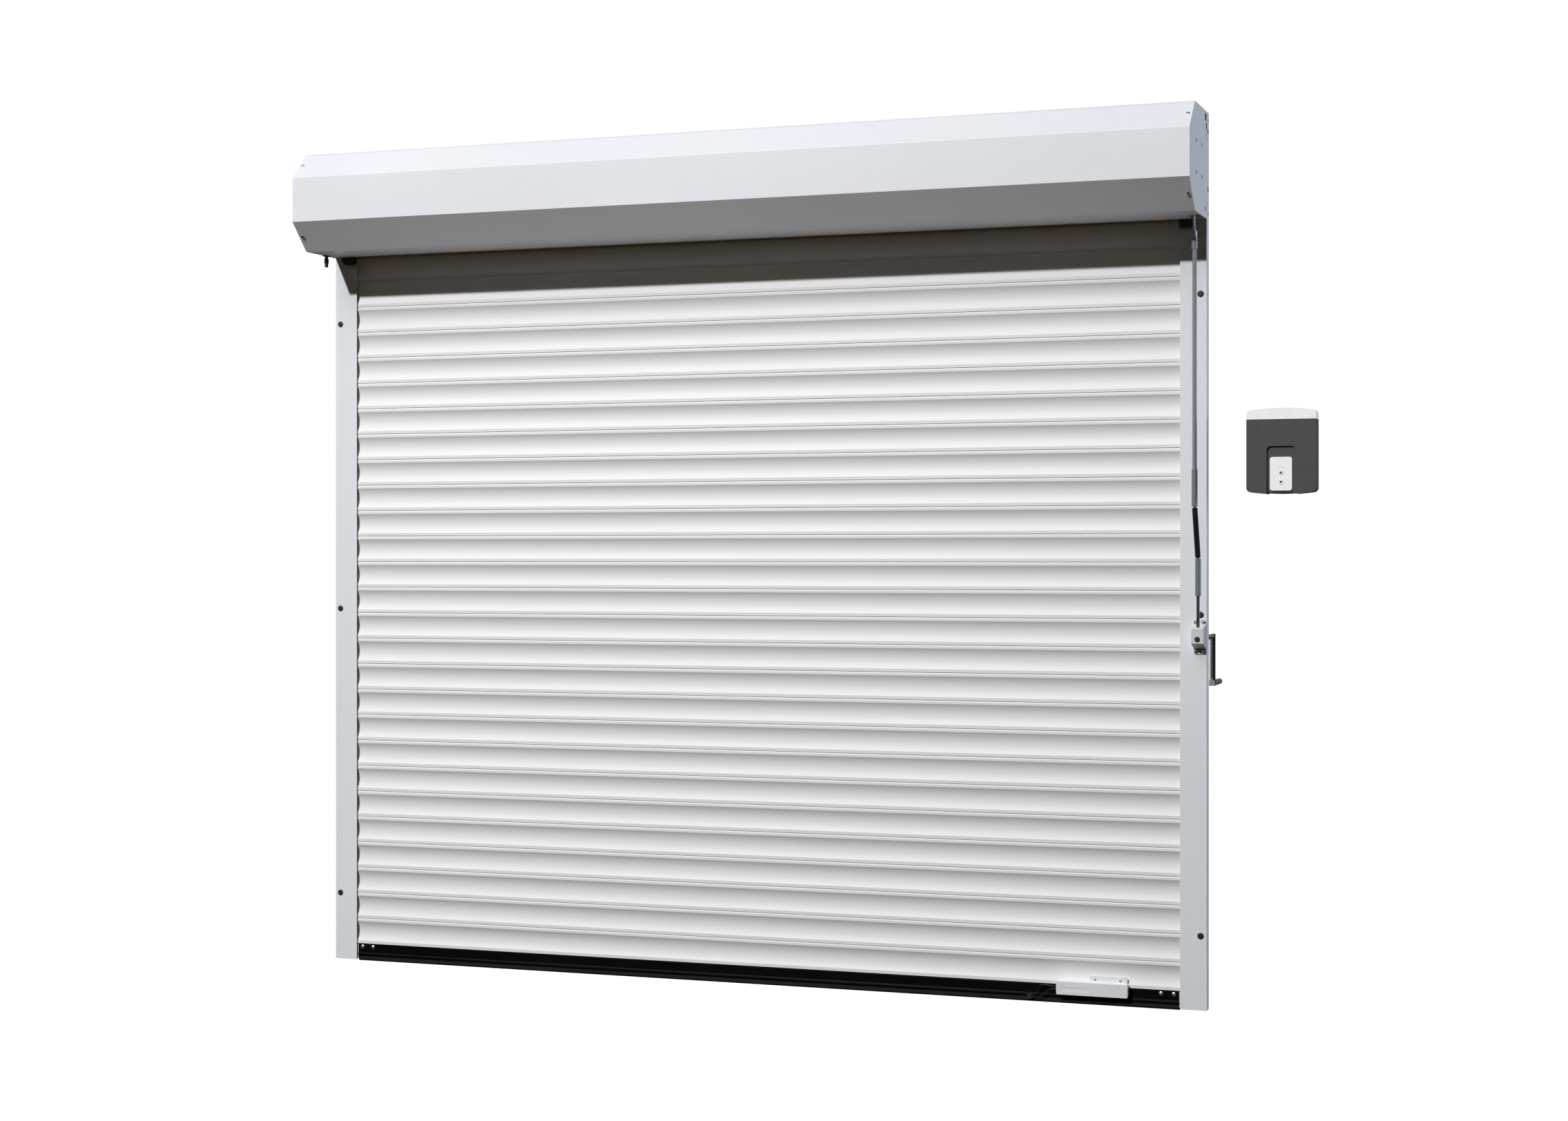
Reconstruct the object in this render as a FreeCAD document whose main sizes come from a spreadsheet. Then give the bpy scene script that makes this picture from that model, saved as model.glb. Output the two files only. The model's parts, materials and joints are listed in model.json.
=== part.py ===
import FreeCAD, Part
import math
import os
import re
import types
from FreeCAD import Placement, Rotation, Vector

# Motorised roller shutter for a garage doorway, seen from inside the room.
# X runs along the wall, +Y goes into the wall, Z is up.  The origin is on the floor, in the
# wall plane, midway between the guide rails.

# ------------------------------------------------------------ driving sizes, in millimetres
SIZES = {
    # guide rails
    "guide_inner": 1219, "guide_outer": 1289.3, "guide_depth": 30, "guide_wall": 2,
    "guide_foot": 4, "slot_floor": 1256.5, "fixing_x": 1273, "fixing_low": 199,
    "fixing_pitch": 839, "fixing_radius": 4.5, "plug_radius": 8.5,
    # casing
    "casing_low": 2072, "casing_high": 2352, "casing_front": 276, "bevel": 77,
    "sheet_thick": 1.5, "end_plate": 2.3, "flange": 24,
    # curtain
    "slat_pitch": 75, "slat_count": 27, "slat_foot": 51, "slat_half": 1250,
    "bar_half": 1216,
    # barrel and tubular motor
    "axis_y": -142, "axis_z": 2213, "barrel_flat": 51, "barrel_wall": 1.5,
    "barrel_left": -1262, "barrel_right": 1238, "motor_radius": 29, "motor_inner": 27,
    "motor_left": 690, "motor_right": 1243, "rotor_radius": 15.5, "spindle_radius": 4,
    # emergency crank
    "crank_x": 1271.4, "crank_z": 976.3, "drive_y": -57, "rod_x": 1269, "rod_y": -94,
    "rod_radius": 5.7, "sleeve_radius": 7.6, "ball_radius": 4.8, "cup_radius": 5,
    "neck_radius": 3, "link_radius": 7.2, "drive_radius": 4.1, "crank_radius": 5,
    "arm_length": 125, "arm_width": 14, "grip_length": 108, "top_radius": 3.5,
    # control box on the wall
    "control_x": 1486, "control_width": 178.5, "control_low": 1351, "control_high": 1574,
    "control_depth": 60, "cap_low": 1544, "base_thick": 12, "button_radius": 7,
    "button_high": 1407, "button_low": 1382,
    # door sensor on the bottom bar
    "sensor_left": 891, "sensor_right": 1083, "sensor_low": 27, "sensor_high": 61.3,
}
S = types.SimpleNamespace(**SIZES)

doc = FreeCAD.newDocument("RollerShutter")
sheet = doc.addObject("Spreadsheet::Sheet", "Sizes")
for row, (alias, number) in enumerate(SIZES.items(), start=1):
    sheet.set(f"A{row}", alias)
    sheet.set(f"B{row}", str(number))
    sheet.setAlias(f"B{row}", alias)
doc.recompute()

RUNNING = 0.05          # radial clearance of a shaft that turns in its bore
EDGE = 1                # overshoot of a cutting tool past a face
subparts = []


# ------------------------------------------------------------ helpers
def bind(feature, **texts):
    """Tie properties to the sheet; a size's alias in a text means its cell."""
    for name, text in texts.items():
        cell = re.sub(r"[a-z]\w*", lambda word: "Sizes." + word.group(), str(text))
        feature.setExpression(name, cell)


def block(length, width, height, low):
    """Box with its lowest corner at low."""
    feature = doc.addObject("Part::Box", "block")
    bind(feature, Length=length, Width=width, Height=height)
    feature.Placement = Placement(Vector(*low), Rotation())
    return feature


def bar(radius, length, foot, along=(0, 0, 1)):
    """Cylinder from foot, in the direction along."""
    feature = doc.addObject("Part::Cylinder", "bar")
    bind(feature, Radius=radius, Height=length)
    feature.Placement = Placement(Vector(*foot), Rotation(Vector(0, 0, 1), Vector(*along)))
    return feature


def ball(radius, centre):
    feature = doc.addObject("Part::Sphere", "ball")
    bind(feature, Radius=radius)
    feature.Placement = Placement(Vector(*centre), Rotation())
    return feature


def fuse(*pieces):
    feature = doc.addObject("Part::MultiFuse", "fuse")
    feature.Shapes = list(pieces)
    return feature


def group(*pieces):
    """Separate solids kept together."""
    feature = doc.addObject("Part::Compound", "group")
    feature.Links = list(pieces)
    return feature


def cut(base, *tools):
    feature = doc.addObject("Part::Cut", "cut")
    feature.Base = base
    feature.Tool = tools[0] if len(tools) == 1 else fuse(*tools)
    return feature


def via(across, up):
    """A point that an arc passes through, between its two neighbours."""
    return ("via", across, up)


def sketch_edges(outline):
    """Lines and arcs of a closed outline of points and via points."""
    edges = []
    for index, corner in enumerate(outline):
        if corner[0] == "via":
            continue
        start = Vector(corner[0], corner[1], 0)
        after = outline[(index + 1) % len(outline)]
        arc = after[0] == "via"
        finish = outline[(index + 2) % len(outline)] if arc else after
        finish = Vector(finish[0], finish[1], 0)
        if arc:
            edges.append(Part.Arc(start, Vector(after[1], after[2], 0), finish))
        else:
            edges.append(Part.LineSegment(start, finish))
    return edges


def sketched_body(plane, outlines):
    """Body with one sketch of closed outlines on one of its origin planes."""
    body = doc.addObject("PartDesign::Body", "body")
    sketch = body.newObject("Sketcher::SketchObject", "sketch")
    origin_plane = next(item for item in body.Origin.OriginFeatures if item.Role == plane)
    sketch.AttachmentSupport = (origin_plane, "")
    sketch.MapMode = "FlatFace"
    for outline in outlines:
        sketch.addGeometry(sketch_edges(outline))
    sketch.Visibility = False
    return body, sketch


def extruded(plane, outlines, length, start=(0, 0, 0)):
    """Pad of outlines: YZ_Plane pads along +X, XY_Plane along +Z, XZ_Plane along -Y."""
    body, sketch = sketched_body(plane, outlines)
    pad = body.newObject("PartDesign::Pad", "pad")
    pad.Profile = sketch
    bind(pad, Length=length)
    body.Tip = pad
    body.Placement = Placement(Vector(*start), Rotation())
    return body


def turned(profile, foot=(0, 0, 0), along=(0, 0, 1)):
    """Turned piece; profile is (radius, distance along the axis from foot)."""
    body, sketch = sketched_body("XZ_Plane", [profile])
    revolution = body.newObject("PartDesign::Revolution", "revolution")
    revolution.Profile = sketch
    revolution.ReferenceAxis = (sketch, ["V_Axis"])
    revolution.Angle = 360
    body.Tip = revolution
    body.Placement = Placement(Vector(*foot), Rotation(Vector(0, 0, 1), Vector(*along)))
    return body


def fixed_shape(shape):
    feature = doc.addObject("Part::Feature", "shape")
    feature.Shape = shape
    return feature


def node(name, feature):
    feature.Label = name
    subparts.append(feature)
    return feature


def rectangle(left, right, low, high):
    return [(left, low), (right, low), (right, high), (left, high)]


def rounded(left, right, low, high, radius):
    """Rectangle with round corners, as points and via points."""
    inset = radius * (1 - math.sqrt(0.5))
    return [
        (left + radius, low), (right - radius, low), via(right - inset, low + inset),
        (right, low + radius), (right, high - radius), via(right - inset, high - inset),
        (right - radius, high), (left + radius, high), via(left + inset, high - inset),
        (left, high - radius), (left, low + radius), via(left + inset, low + inset),
    ]


def ngon(flat, across, up, sides=8):
    """Regular polygon with its flats square to the axes."""
    corner = flat / math.cos(math.pi / sides)
    turns = [math.pi * (2 * side + 1) / sides for side in range(sides)]
    return [(across + corner * math.cos(turn), up + corner * math.sin(turn)) for turn in turns]


def screw(head_radius, head_height, shank_radius, shank_length, seat, outward):
    """Pan-head screw with a cross recess; seat is under the head, outward is its axis."""
    crown = head_height * 0.55
    head = turned([(0, -shank_length), (shank_radius, -shank_length), (shank_radius, 0),
                   (head_radius, 0), (head_radius, crown), via(head_radius * 0.72, head_height * 0.9),
                   (0, head_height)], seat, outward)
    slots = []
    for turn in (0, 90):
        slot = block(head_radius * 1.2, head_radius * 0.26, head_height, (0, 0, 0))
        centre = Placement(Vector(-head_radius * 0.6, -head_radius * 0.13, head_height * 0.5),
                           Rotation())
        spin = Placement(Vector(), Rotation(Vector(0, 0, 1), turn))
        slot.Placement = head.Placement.multiply(spin).multiply(centre)
        slots.append(slot)
    return cut(head, *slots)


# ------------------------------------------------------------ guide rails
FIXING_HEIGHTS = [S.fixing_low + step * S.fixing_pitch for step in range(3)]
GEARBOX_SCREWS = [(S.crank_x + dx, S.crank_z + dz) for dx in (-10, 10) for dz in (-34.5, 43)]
GROOVE = 0.4


def guide_rail(side):
    """Closed chamber for the wall screws, and a lip on each side of the slats' slot."""
    front, wall = -S.guide_depth, S.guide_wall
    outline = [
        (S.slot_floor, front), (S.fixing_x - GROOVE, front), (S.fixing_x, front + GROOVE),
        (S.fixing_x + GROOVE, front), (S.guide_outer, front), (S.guide_outer, 0),
        (S.slot_floor, 0),
    ]
    chamber = rectangle(S.slot_floor + wall, S.guide_outer - wall, front + wall, -wall)
    mirrored = [[(side * x, y) for x, y in points] for points in (outline, chamber)]
    rail = extruded("XY_Plane", mirrored, "casing_low - guide_foot", (0, 0, S.guide_foot))
    lip_x = S.guide_inner if side > 0 else -S.slot_floor
    lips = [block("slot_floor - guide_inner", "guide_wall", "casing_low - guide_foot",
                  (lip_x, low_y, S.guide_foot)) for low_y in (front, -wall)]
    holes = []
    for height in FIXING_HEIGHTS:
        x = side * S.fixing_x
        holes.append(bar("fixing_radius", "2 * guide_wall", (x, -wall * 1.5, height), (0, 1, 0)))
        holes.append(bar("plug_radius - 1", "2 * guide_wall", (x, front - EDGE, height), (0, 1, 0)))
    for height in FIXING_HEIGHTS[1:]:
        edge = (side * (S.guide_outer - wall - EDGE), -13, height)
        holes.append(bar(2, "3 * guide_wall", edge, (side, 0, 0)))
    if side > 0:
        through = S.guide_depth + 2 * EDGE
        holes.append(bar("crank_radius + 2", through, (S.crank_x, front - EDGE, S.crank_z),
                         (0, 1, 0)))
        holes += [bar(2.1, wall + 2 * EDGE, (x, front - EDGE, z), (0, 1, 0))
                  for x, z in GEARBOX_SCREWS]
    return group(cut(rail, *holes), *lips)


node("right_guide_rail", guide_rail(1))
node("left_guide_rail", guide_rail(-1))

BRUSH_WIDTH = 6
SLAT_FRONT = -25        # room-side rims of the slats
SLAT_BACK = -5.5        # outermost point of the slats' outer face
SLAT_GAP = 0.4          # between the room-side rims of two slats
brushes = []
for side in (-1, 1):
    low_x = side * (S.guide_inner + EDGE + BRUSH_WIDTH / 2) - BRUSH_WIDTH / 2
    front_pile = SLAT_FRONT - 0.4 + S.guide_depth - S.guide_wall
    back_pile = -S.guide_wall - SLAT_BACK - 0.4
    brushes.append(block(BRUSH_WIDTH, front_pile, "casing_low - guide_foot",
                         (low_x, S.guide_wall - S.guide_depth, S.guide_foot)))
    brushes.append(block(BRUSH_WIDTH, back_pile, "casing_low - guide_foot",
                         (low_x, -S.guide_wall - back_pile, S.guide_foot)))
node("brush_seals", group(*brushes))

PLUG_HEIGHT = 2
plugs = []
for side in (-1, 1):
    for height in FIXING_HEIGHTS:
        plugs.append(turned(
            [(0, -8), (S.plug_radius - 1.2, -8), (S.plug_radius - 1.2, 0), (S.plug_radius, 0),
             (S.plug_radius, PLUG_HEIGHT * 0.5), via(S.plug_radius * 0.85, PLUG_HEIGHT * 0.85),
             (S.plug_radius * 0.5, PLUG_HEIGHT), (0, PLUG_HEIGHT)],
            (side * S.fixing_x, -S.guide_depth, height), (0, -1, 0)))
FUNNEL_LOW = 2050
FUNNEL_OUTER = 1260
FUNNEL_FRONT = -46
funnels = []
for side in (-1, 1):
    face = [(S.guide_inner, FUNNEL_LOW), (FUNNEL_OUTER - 9, FUNNEL_LOW),
            (FUNNEL_OUTER, FUNNEL_LOW + 9), (FUNNEL_OUTER, S.casing_low - 0.2),
            (S.guide_inner, S.casing_low - 0.2)]
    lip = extruded("XZ_Plane", [[(side * x, z) for x, z in face]],
                   -FUNNEL_FRONT - S.guide_depth, (0, -S.guide_depth, 0))
    funnels.append(lip)
node("inlet_funnels", group(*funnels))


# ------------------------------------------------------------ casing
def casing_corner(inset):
    """Corners of the casing's end view, moved inwards by inset."""
    slip = inset * (math.sqrt(2) - 1)
    bend = -(S.casing_front - S.bevel) + slip
    front = -S.casing_front + inset
    high, low = S.casing_high - inset, S.casing_low + inset
    upper = S.casing_high - S.bevel - slip
    lower = S.casing_low + S.bevel + slip
    return [(-inset, low), (-inset, high), (bend, high), (front, upper), (front, lower),
            (bend, low)]


def strip(start, finish, first, last, length="2 * guide_outer - 2 * end_plate"):
    """Folded sheet along the casing corners first to last, between two loose ends."""
    outer, inner = casing_corner(0), casing_corner(S.sheet_thick)
    outline = [start[0]] + outer[first:last] + [finish[0]]
    outline += [finish[1]] + inner[first:last][::-1] + [start[1]]
    return extruded("YZ_Plane", [outline], length, (S.end_plate - S.guide_outer, 0, 0))


bend_y = -(S.casing_front - S.bevel)
HEM = 4                 # how far the top sheet folds down over the upper bevel
SLOPE = S.sheet_thick * math.sqrt(0.5)
top_lap = (bend_y - HEM + 0.4, S.casing_high - HEM + 0.4)
front_lap = (bend_y - HEM, S.casing_high - HEM)
front_heel = (bend_y - EDGE, S.casing_low + EDGE)
back_foot = S.casing_low + 3
EXIT_FRONT = -47        # front edge of the slot that the curtain leaves through

BEVEL_OUT = math.sqrt(0.5)
CASING_SCREW_X = 1278
CASING_SCREWS = [(-237.5, S.casing_high, 1), (-237.5, S.casing_low, -1)]   # depth, edge, up or down


def on_bevel(side, depth, edge, up, outward=0):
    """Point of a bevel at a depth, moved out along the bevel's normal."""
    height = edge + up * (depth - bend_y)
    return (side * CASING_SCREW_X, depth - outward * BEVEL_OUT, height + up * outward * BEVEL_OUT)


def casing_screw_ways(side):
    return [bar(2.1, 12, on_bevel(side, *place, 5), (0, BEVEL_OUT, -place[2] * BEVEL_OUT))
            for place in CASING_SCREWS]


node("casing_top_and_back", strip(
    ((0, back_foot), (-S.sheet_thick, back_foot)),
    (top_lap, (top_lap[0] + SLOPE, top_lap[1] - SLOPE)), 1, 3))
front_cover = strip(
    (front_lap, (front_lap[0] + SLOPE, front_lap[1] - SLOPE)),
    (front_heel, (front_heel[0] + SLOPE, front_heel[1] + SLOPE)), 3, 5)
node("casing_front_cover", cut(front_cover, *casing_screw_ways(-1), *casing_screw_ways(1)))

SHAFT_HOLE = (1254, 1284, -113, -66)       # left, right, front, back of the shaft's opening
hole_left, hole_right, hole_front, hole_back = SHAFT_HOLE
TOGGLE_X, TOGGLE_Y = -1280, -100           # release toggle under the left end


def toggle_way():
    """Hole for the release toggle's stem."""
    return bar(2.3, 20, (TOGGLE_X, TOGGLE_Y, S.casing_low - 10))


floor_panel = block("2 * guide_outer - 2 * end_plate", EXIT_FRONT - bend_y, "sheet_thick",
                    (S.end_plate - S.guide_outer, bend_y, S.casing_low))
shaft_opening = block(hole_right - hole_left, hole_back - hole_front, 20,
                      (hole_left, hole_front, S.casing_low - 5))
node("casing_floor_panel", cut(floor_panel, shaft_opening, toggle_way()))
node("casing_screws", group(*[
    screw(5, 2.6, 2, 6, on_bevel(side, *place), (0, -BEVEL_OUT, place[2] * BEVEL_OUT))
    for side in (-1, 1) for place in CASING_SCREWS]))

# cut-outs of the end plates: depth, height, half width, half height
PLATE_HOLES = [(-45.7, 2335, 9.5, 11), (-33.6, 2313.2, 6.5, 9.5), (-12.3, 2302.7, 6, 6.5),
               (-9, 2331.9, 4.5, 4.5), (-40.7, 2289, 3, 3.2), (-26.5, 2281, 3, 3.2),
               (-11.3, 2150.7, 5.5, 7), (-26.5, 2113.5, 2.5, 3), (-47.7, 2096, 5.5, 6.7),
               (-9, 2088.4, 4.5, 4)]
BRACKET_SCREWS = [(S.axis_y + dy, S.axis_z + dz) for dy in (-40.2, 40.2) for dz in (-41.3, 41.3)]


def end_plate(side):
    """Side plate of the casing with a flange all round for the sheets."""
    face = side * S.guide_outer
    low_x = min(face, face - side * S.end_plate)
    plate = extruded("YZ_Plane", [casing_corner(0)], "end_plate", (low_x, 0, 0))
    flange_x = S.guide_outer - S.end_plate - S.flange
    ring = extruded("YZ_Plane", [casing_corner(S.sheet_thick + 0.2),
                                 casing_corner(2 * S.sheet_thick + 0.2)],
                    "flange", (flange_x if side > 0 else -flange_x - S.flange, 0, 0))
    tools = []
    outside = side * (S.guide_outer + EDGE)
    for depth, height, half_width, half_height in PLATE_HOLES:
        slot = extruded("YZ_Plane", [rounded(
            depth - half_width, depth + half_width, height - half_height, height + half_height,
            half_width * 0.9)], 5, (min(outside, outside - side * 5), 0, 0))
        tools.append(slot)
    for depth, height in BRACKET_SCREWS:
        tools.append(bar(2.1, 6, (outside, depth, height), (-side, 0, 0)))
    tools += casing_screw_ways(side)
    if side > 0:
        tools.append(block(30, hole_back - hole_front, 12,
                           (S.guide_outer - S.end_plate - 30, hole_front, S.casing_low - EDGE)))
    else:
        tools.append(toggle_way())
    return cut(fuse(plate, ring), *tools)


node("right_end_plate", end_plate(1))

SEAT_RADIUS = 16
SEAT_WIDTH = 11
seat_face = -S.guide_outer + S.end_plate
bearing_seat = turned([(SEAT_RADIUS, 0), (SEAT_RADIUS + 5, 0), (SEAT_RADIUS + 5, SEAT_WIDTH),
                       (SEAT_RADIUS, SEAT_WIDTH)], (seat_face, S.axis_y, S.axis_z), (1, 0, 0))
node("left_end_plate", fuse(end_plate(-1), bearing_seat))

# ------------------------------------------------------------ barrel and its left bearing
AXIS = (S.axis_y, S.axis_z)
BEARING_X = seat_face + 0.5
BEARING_WIDTH = 9
PIN_RADIUS = 6
BALL_RING = 11
bearing_rings = [
    turned([(12.8, 0), (SEAT_RADIUS - 0.02, 0), (SEAT_RADIUS - 0.02, BEARING_WIDTH),
            (12.8, BEARING_WIDTH)], (BEARING_X, *AXIS), (1, 0, 0)),
    turned([(PIN_RADIUS + RUNNING, 0), (9.2, 0), (9.2, BEARING_WIDTH),
            (PIN_RADIUS + RUNNING, BEARING_WIDTH)], (BEARING_X, *AXIS), (1, 0, 0)),
]
for turn in range(8):
    angle = turn * math.pi / 4
    bearing_rings.append(ball(1.7, (BEARING_X + BEARING_WIDTH / 2,
                                    S.axis_y + BALL_RING * math.cos(angle),
                                    S.axis_z + BALL_RING * math.sin(angle))))
node("barrel_bearing", group(*bearing_rings))

barrel = extruded("YZ_Plane", [ngon(S.barrel_flat, *AXIS),
                               ngon(S.barrel_flat - S.barrel_wall, *AXIS)],
                  "barrel_right - barrel_left", (S.barrel_left, 0, 0))
node("barrel_tube", barrel)

inner_flat = S.barrel_flat - S.barrel_wall - 0.2
idler_plug = extruded("YZ_Plane", [ngon(inner_flat, *AXIS)], 22, (S.barrel_left, 0, 0))
idler_rim = bar("barrel_flat", 2, (S.barrel_left - 2, *AXIS), (1, 0, 0))
idler_pin = bar(PIN_RADIUS, 24, (S.barrel_left - 24, *AXIS), (1, 0, 0))
node("idler_cap", fuse(idler_plug, idler_rim, idler_pin))

OUTPUT_RADIUS = 9
DRIVE_X = 640
DRIVE_WIDTH = 32
drive_disc = extruded("YZ_Plane", [ngon(inner_flat, *AXIS)], DRIVE_WIDTH, (DRIVE_X, 0, 0))
windows = [bar(8, DRIVE_WIDTH + 2, (DRIVE_X - EDGE, S.axis_y + 30 * math.cos(turn),
                                    S.axis_z + 30 * math.sin(turn)), (1, 0, 0))
           for turn in [index * math.pi / 3 for index in range(6)]]
output_shaft = bar(OUTPUT_RADIUS, 140, (DRIVE_X + 4, *AXIS), (1, 0, 0))
node("drive_wheel", fuse(cut(drive_disc, *windows), output_shaft))

CROWN_X = 1200
crown = extruded("YZ_Plane", [ngon(inner_flat, *AXIS)], 36, (CROWN_X, 0, 0))
crown_bore = bar("motor_radius + 0.08", 40, (CROWN_X - 2, *AXIS), (1, 0, 0))
node("crown_ring", cut(crown, crown_bore))

# ------------------------------------------------------------ tubular motor
motor_tube = turned([(S.motor_inner, 0), (S.motor_radius, 0),
                     (S.motor_radius, S.motor_right - S.motor_left),
                     (S.motor_inner, S.motor_right - S.motor_left)],
                    (S.motor_left, *AXIS), (1, 0, 0))
node("motor_tube", motor_tube)

FIT = S.motor_inner - 0.1
GEARCASE_X = 700
node("motor_reduction_gear", turned(
    [(OUTPUT_RADIUS + RUNNING, 0), (FIT, 0), (FIT, 190), (6, 190), (6, 170), (20, 170),
     (20, 90), (OUTPUT_RADIUS + RUNNING, 90)], (GEARCASE_X, *AXIS), (1, 0, 0)))

STATOR_X = 905
stator_core = turned([(S.rotor_radius + 0.5, 0), (FIT, 0), (FIT, 110), (S.rotor_radius + 0.5, 110)],
                     (STATOR_X, *AXIS), (1, 0, 0))
winding_ends = [turned([(S.rotor_radius + 1.5, 0), (FIT - 3, 0), (FIT - 3, 10),
                        (S.rotor_radius + 1.5, 10)], (x, *AXIS), (1, 0, 0))
                for x in (STATOR_X - 10, STATOR_X + 110)]
node("motor_stator", fuse(stator_core, *winding_ends))

rotor_core = bar("rotor_radius", 112, (STATOR_X - 1, *AXIS), (1, 0, 0))
spindle = bar("spindle_radius", 200, (STATOR_X - 33, *AXIS), (1, 0, 0))
node("motor_rotor", fuse(rotor_core, spindle))

brake_x = STATOR_X + 122
node("motor_brake", turned([(S.spindle_radius + RUNNING, 0), (FIT, 0), (FIT, 12), (22, 12),
                            (22, 30), (FIT, 30), (FIT, 44), (S.spindle_radius + RUNNING, 44)],
                           (brake_x, *AXIS), (1, 0, 0)))
node("motor_capacitor", turned([(0, 0), (20, 0), (20, 62), via(19, 65), (16, 66), (0, 66)],
                               (brake_x + 54, *AXIS), (1, 0, 0)))
switch_x = brake_x + 126
switch_drum = bar(25, 60, (switch_x, *AXIS), (1, 0, 0))
trip_flat = block(70, 60, 10, (switch_x - 2, S.axis_y - 30, S.axis_z + 17))
node("limit_switch_unit", cut(switch_drum, trip_flat))

HEAD_HALF = 41
HEAD_X = 1260
BRACKET_THICK = 4
HEAD_BACK = S.guide_outer - S.end_plate - BRACKET_THICK
TOP_LEAN = 0.2          # sideways run of the top shaft for each unit of height
JOINT_Z = 2013          # where the rod's axis meets the top shaft's
top_length = math.hypot(1, TOP_LEAN)
TOP_AXIS = (0, -TOP_LEAN / top_length, 1 / top_length)


def on_top_shaft(distance):
    return tuple(start + distance * step for start, step in
                 zip((S.rod_x, S.rod_y, JOINT_Z), TOP_AXIS))


eye_depth = 18
eye_foot = (S.axis_z - HEAD_HALF - JOINT_Z) * top_length
head_block = extruded("YZ_Plane", [rounded(S.axis_y - HEAD_HALF, S.axis_y + HEAD_HALF,
                                           S.axis_z - HEAD_HALF, S.axis_z + HEAD_HALF, 14)],
                      HEAD_BACK - HEAD_X, (HEAD_X, 0, 0))
head_neck = bar("motor_radius + 6", HEAD_X - S.motor_right + 2, (S.motor_right, *AXIS), (1, 0, 0))
eye = bar("top_radius + 0.4", eye_depth + 14, on_top_shaft(eye_foot - 14), TOP_AXIS)
node("motor_head", cut(fuse(head_block, head_neck), eye))

bracket_half = 52
bracket = extruded("YZ_Plane", [rounded(S.axis_y - bracket_half, S.axis_y + bracket_half,
                                        S.axis_z - bracket_half, S.axis_z + bracket_half, 10)],
                   BRACKET_THICK, (HEAD_BACK, 0, 0))
bracket_holes = [bar(2.1, 10, (HEAD_BACK - 3, depth, height), (1, 0, 0))
                 for depth, height in BRACKET_SCREWS]
node("motor_bracket", cut(bracket, *bracket_holes))
node("bracket_screws", group(*[
    screw(4, 1.8, 2, 6, (side * S.guide_outer, depth, height), (side, 0, 0))
    for side in (-1, 1) for depth, height in BRACKET_SCREWS]))


# ------------------------------------------------------------ curtain
def slat_section(foot):
    """End view of a hollow slat, from the joint below it to the hook above it."""
    shell = [
        (SLAT_FRONT, SLAT_GAP), (SLAT_FRONT, 8.8), via(-17.6, 37), (SLAT_FRONT, 65.2),
        (SLAT_FRONT, 71.4), (-22.6, 75), (-21, 75), (-21, 82), (-18.2, 82), (-18.2, 75),
        (-10.5, 75), (-8.5, 72.5), via(SLAT_BACK, 36), (-8.5, 3), (-10.5, 1.4), (-17.4, 1.4),
        (-17.4, 8.4), (-21.8, 8.4), (-21.8, SLAT_GAP),
    ]
    hollow = [(-22.1, 9.9), via(-16.3, 37), (-22.5, 63.2), (-23.6, 66.5), (-23.6, 71.2),
              (-22, 73.5), (-11.2, 73.5), (-9.9, 71.8), via(-6.9, 36), (-9.9, 9.9)]
    return [[(*point[:-1], point[-1] + foot) for point in points] for points in (shell, hollow)]


slats = []
for index in range(S.slat_count):
    foot = S.slat_foot + index * S.slat_pitch
    slats.append(extruded("YZ_Plane", slat_section(foot), "2 * slat_half", (-S.slat_half, 0, 0)))
SLAT_GROUPS = ["lower_slats", "middle_slats", "upper_slats"]
share = S.slat_count // len(SLAT_GROUPS)
for index, name in enumerate(SLAT_GROUPS):
    node(name, group(*slats[index * share:(index + 1) * share]))

PLUG_THICK = 2
end_plugs = []
for index in range(S.slat_count):
    foot = S.slat_foot + index * S.slat_pitch
    for side in (-1, 1):
        low_x = S.slat_half if side > 0 else -S.slat_half - PLUG_THICK
        end_plugs.append(block(PLUG_THICK, 15, 58, (low_x, -23, foot + 11)))
BAR_FRONT = -27
SEAL_TOP = 14
bottom_bar_outline = [
    (BAR_FRONT + 3, SEAL_TOP), (BAR_FRONT, SEAL_TOP + 3), (BAR_FRONT, 22), (-24.5, 24.5),
    (-24.5, 49.2), (-21.8, 51), (-21, 51), (-21, 58), (-18.2, 58), (-18.2, 52),
    (-10.5, 52), (-7, 48), (-5.6, 30), (-5.6, SEAL_TOP), (-12, SEAL_TOP), (-12, SEAL_TOP + 5),
    (-20, SEAL_TOP + 5), (-20, SEAL_TOP),
]
bar_hollow = [(-22.5, 27), (-8, 27), (-8.6, 46), (-11, 48.5), (-22.5, 48.5)]
BAR_SCREWS = [side * x for side in (-1, 1) for x in (1168, 1202)]
BAR_FACE = -24.5
BAR_SCREW_Z = 41.3
bar_profile = extruded("YZ_Plane", [bottom_bar_outline, bar_hollow], "2 * bar_half",
                       (-S.bar_half, 0, 0))
node("bottom_bar", cut(bar_profile, *[bar(2.1, 6, (x, BAR_FACE - EDGE, BAR_SCREW_Z), (0, 1, 0))
                                      for x in BAR_SCREWS]))
seal_outline = [(-23.5, 5), via(-16, 0), (-8.5, 5), (-8.5, SEAL_TOP - 0.2),
                (-12.3, SEAL_TOP - 0.2), (-12.3, SEAL_TOP + 4.6), (-19.7, SEAL_TOP + 4.6),
                (-19.7, SEAL_TOP - 0.2), (-23.5, SEAL_TOP - 0.2)]
seal_hollow = [(-21, 6), via(-16, 2.4), (-11, 6), (-11, 11), (-21, 11)]
node("bottom_seal", extruded("YZ_Plane", [seal_outline, seal_hollow], "2 * bar_half",
                             (-S.bar_half, 0, 0)))

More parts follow.
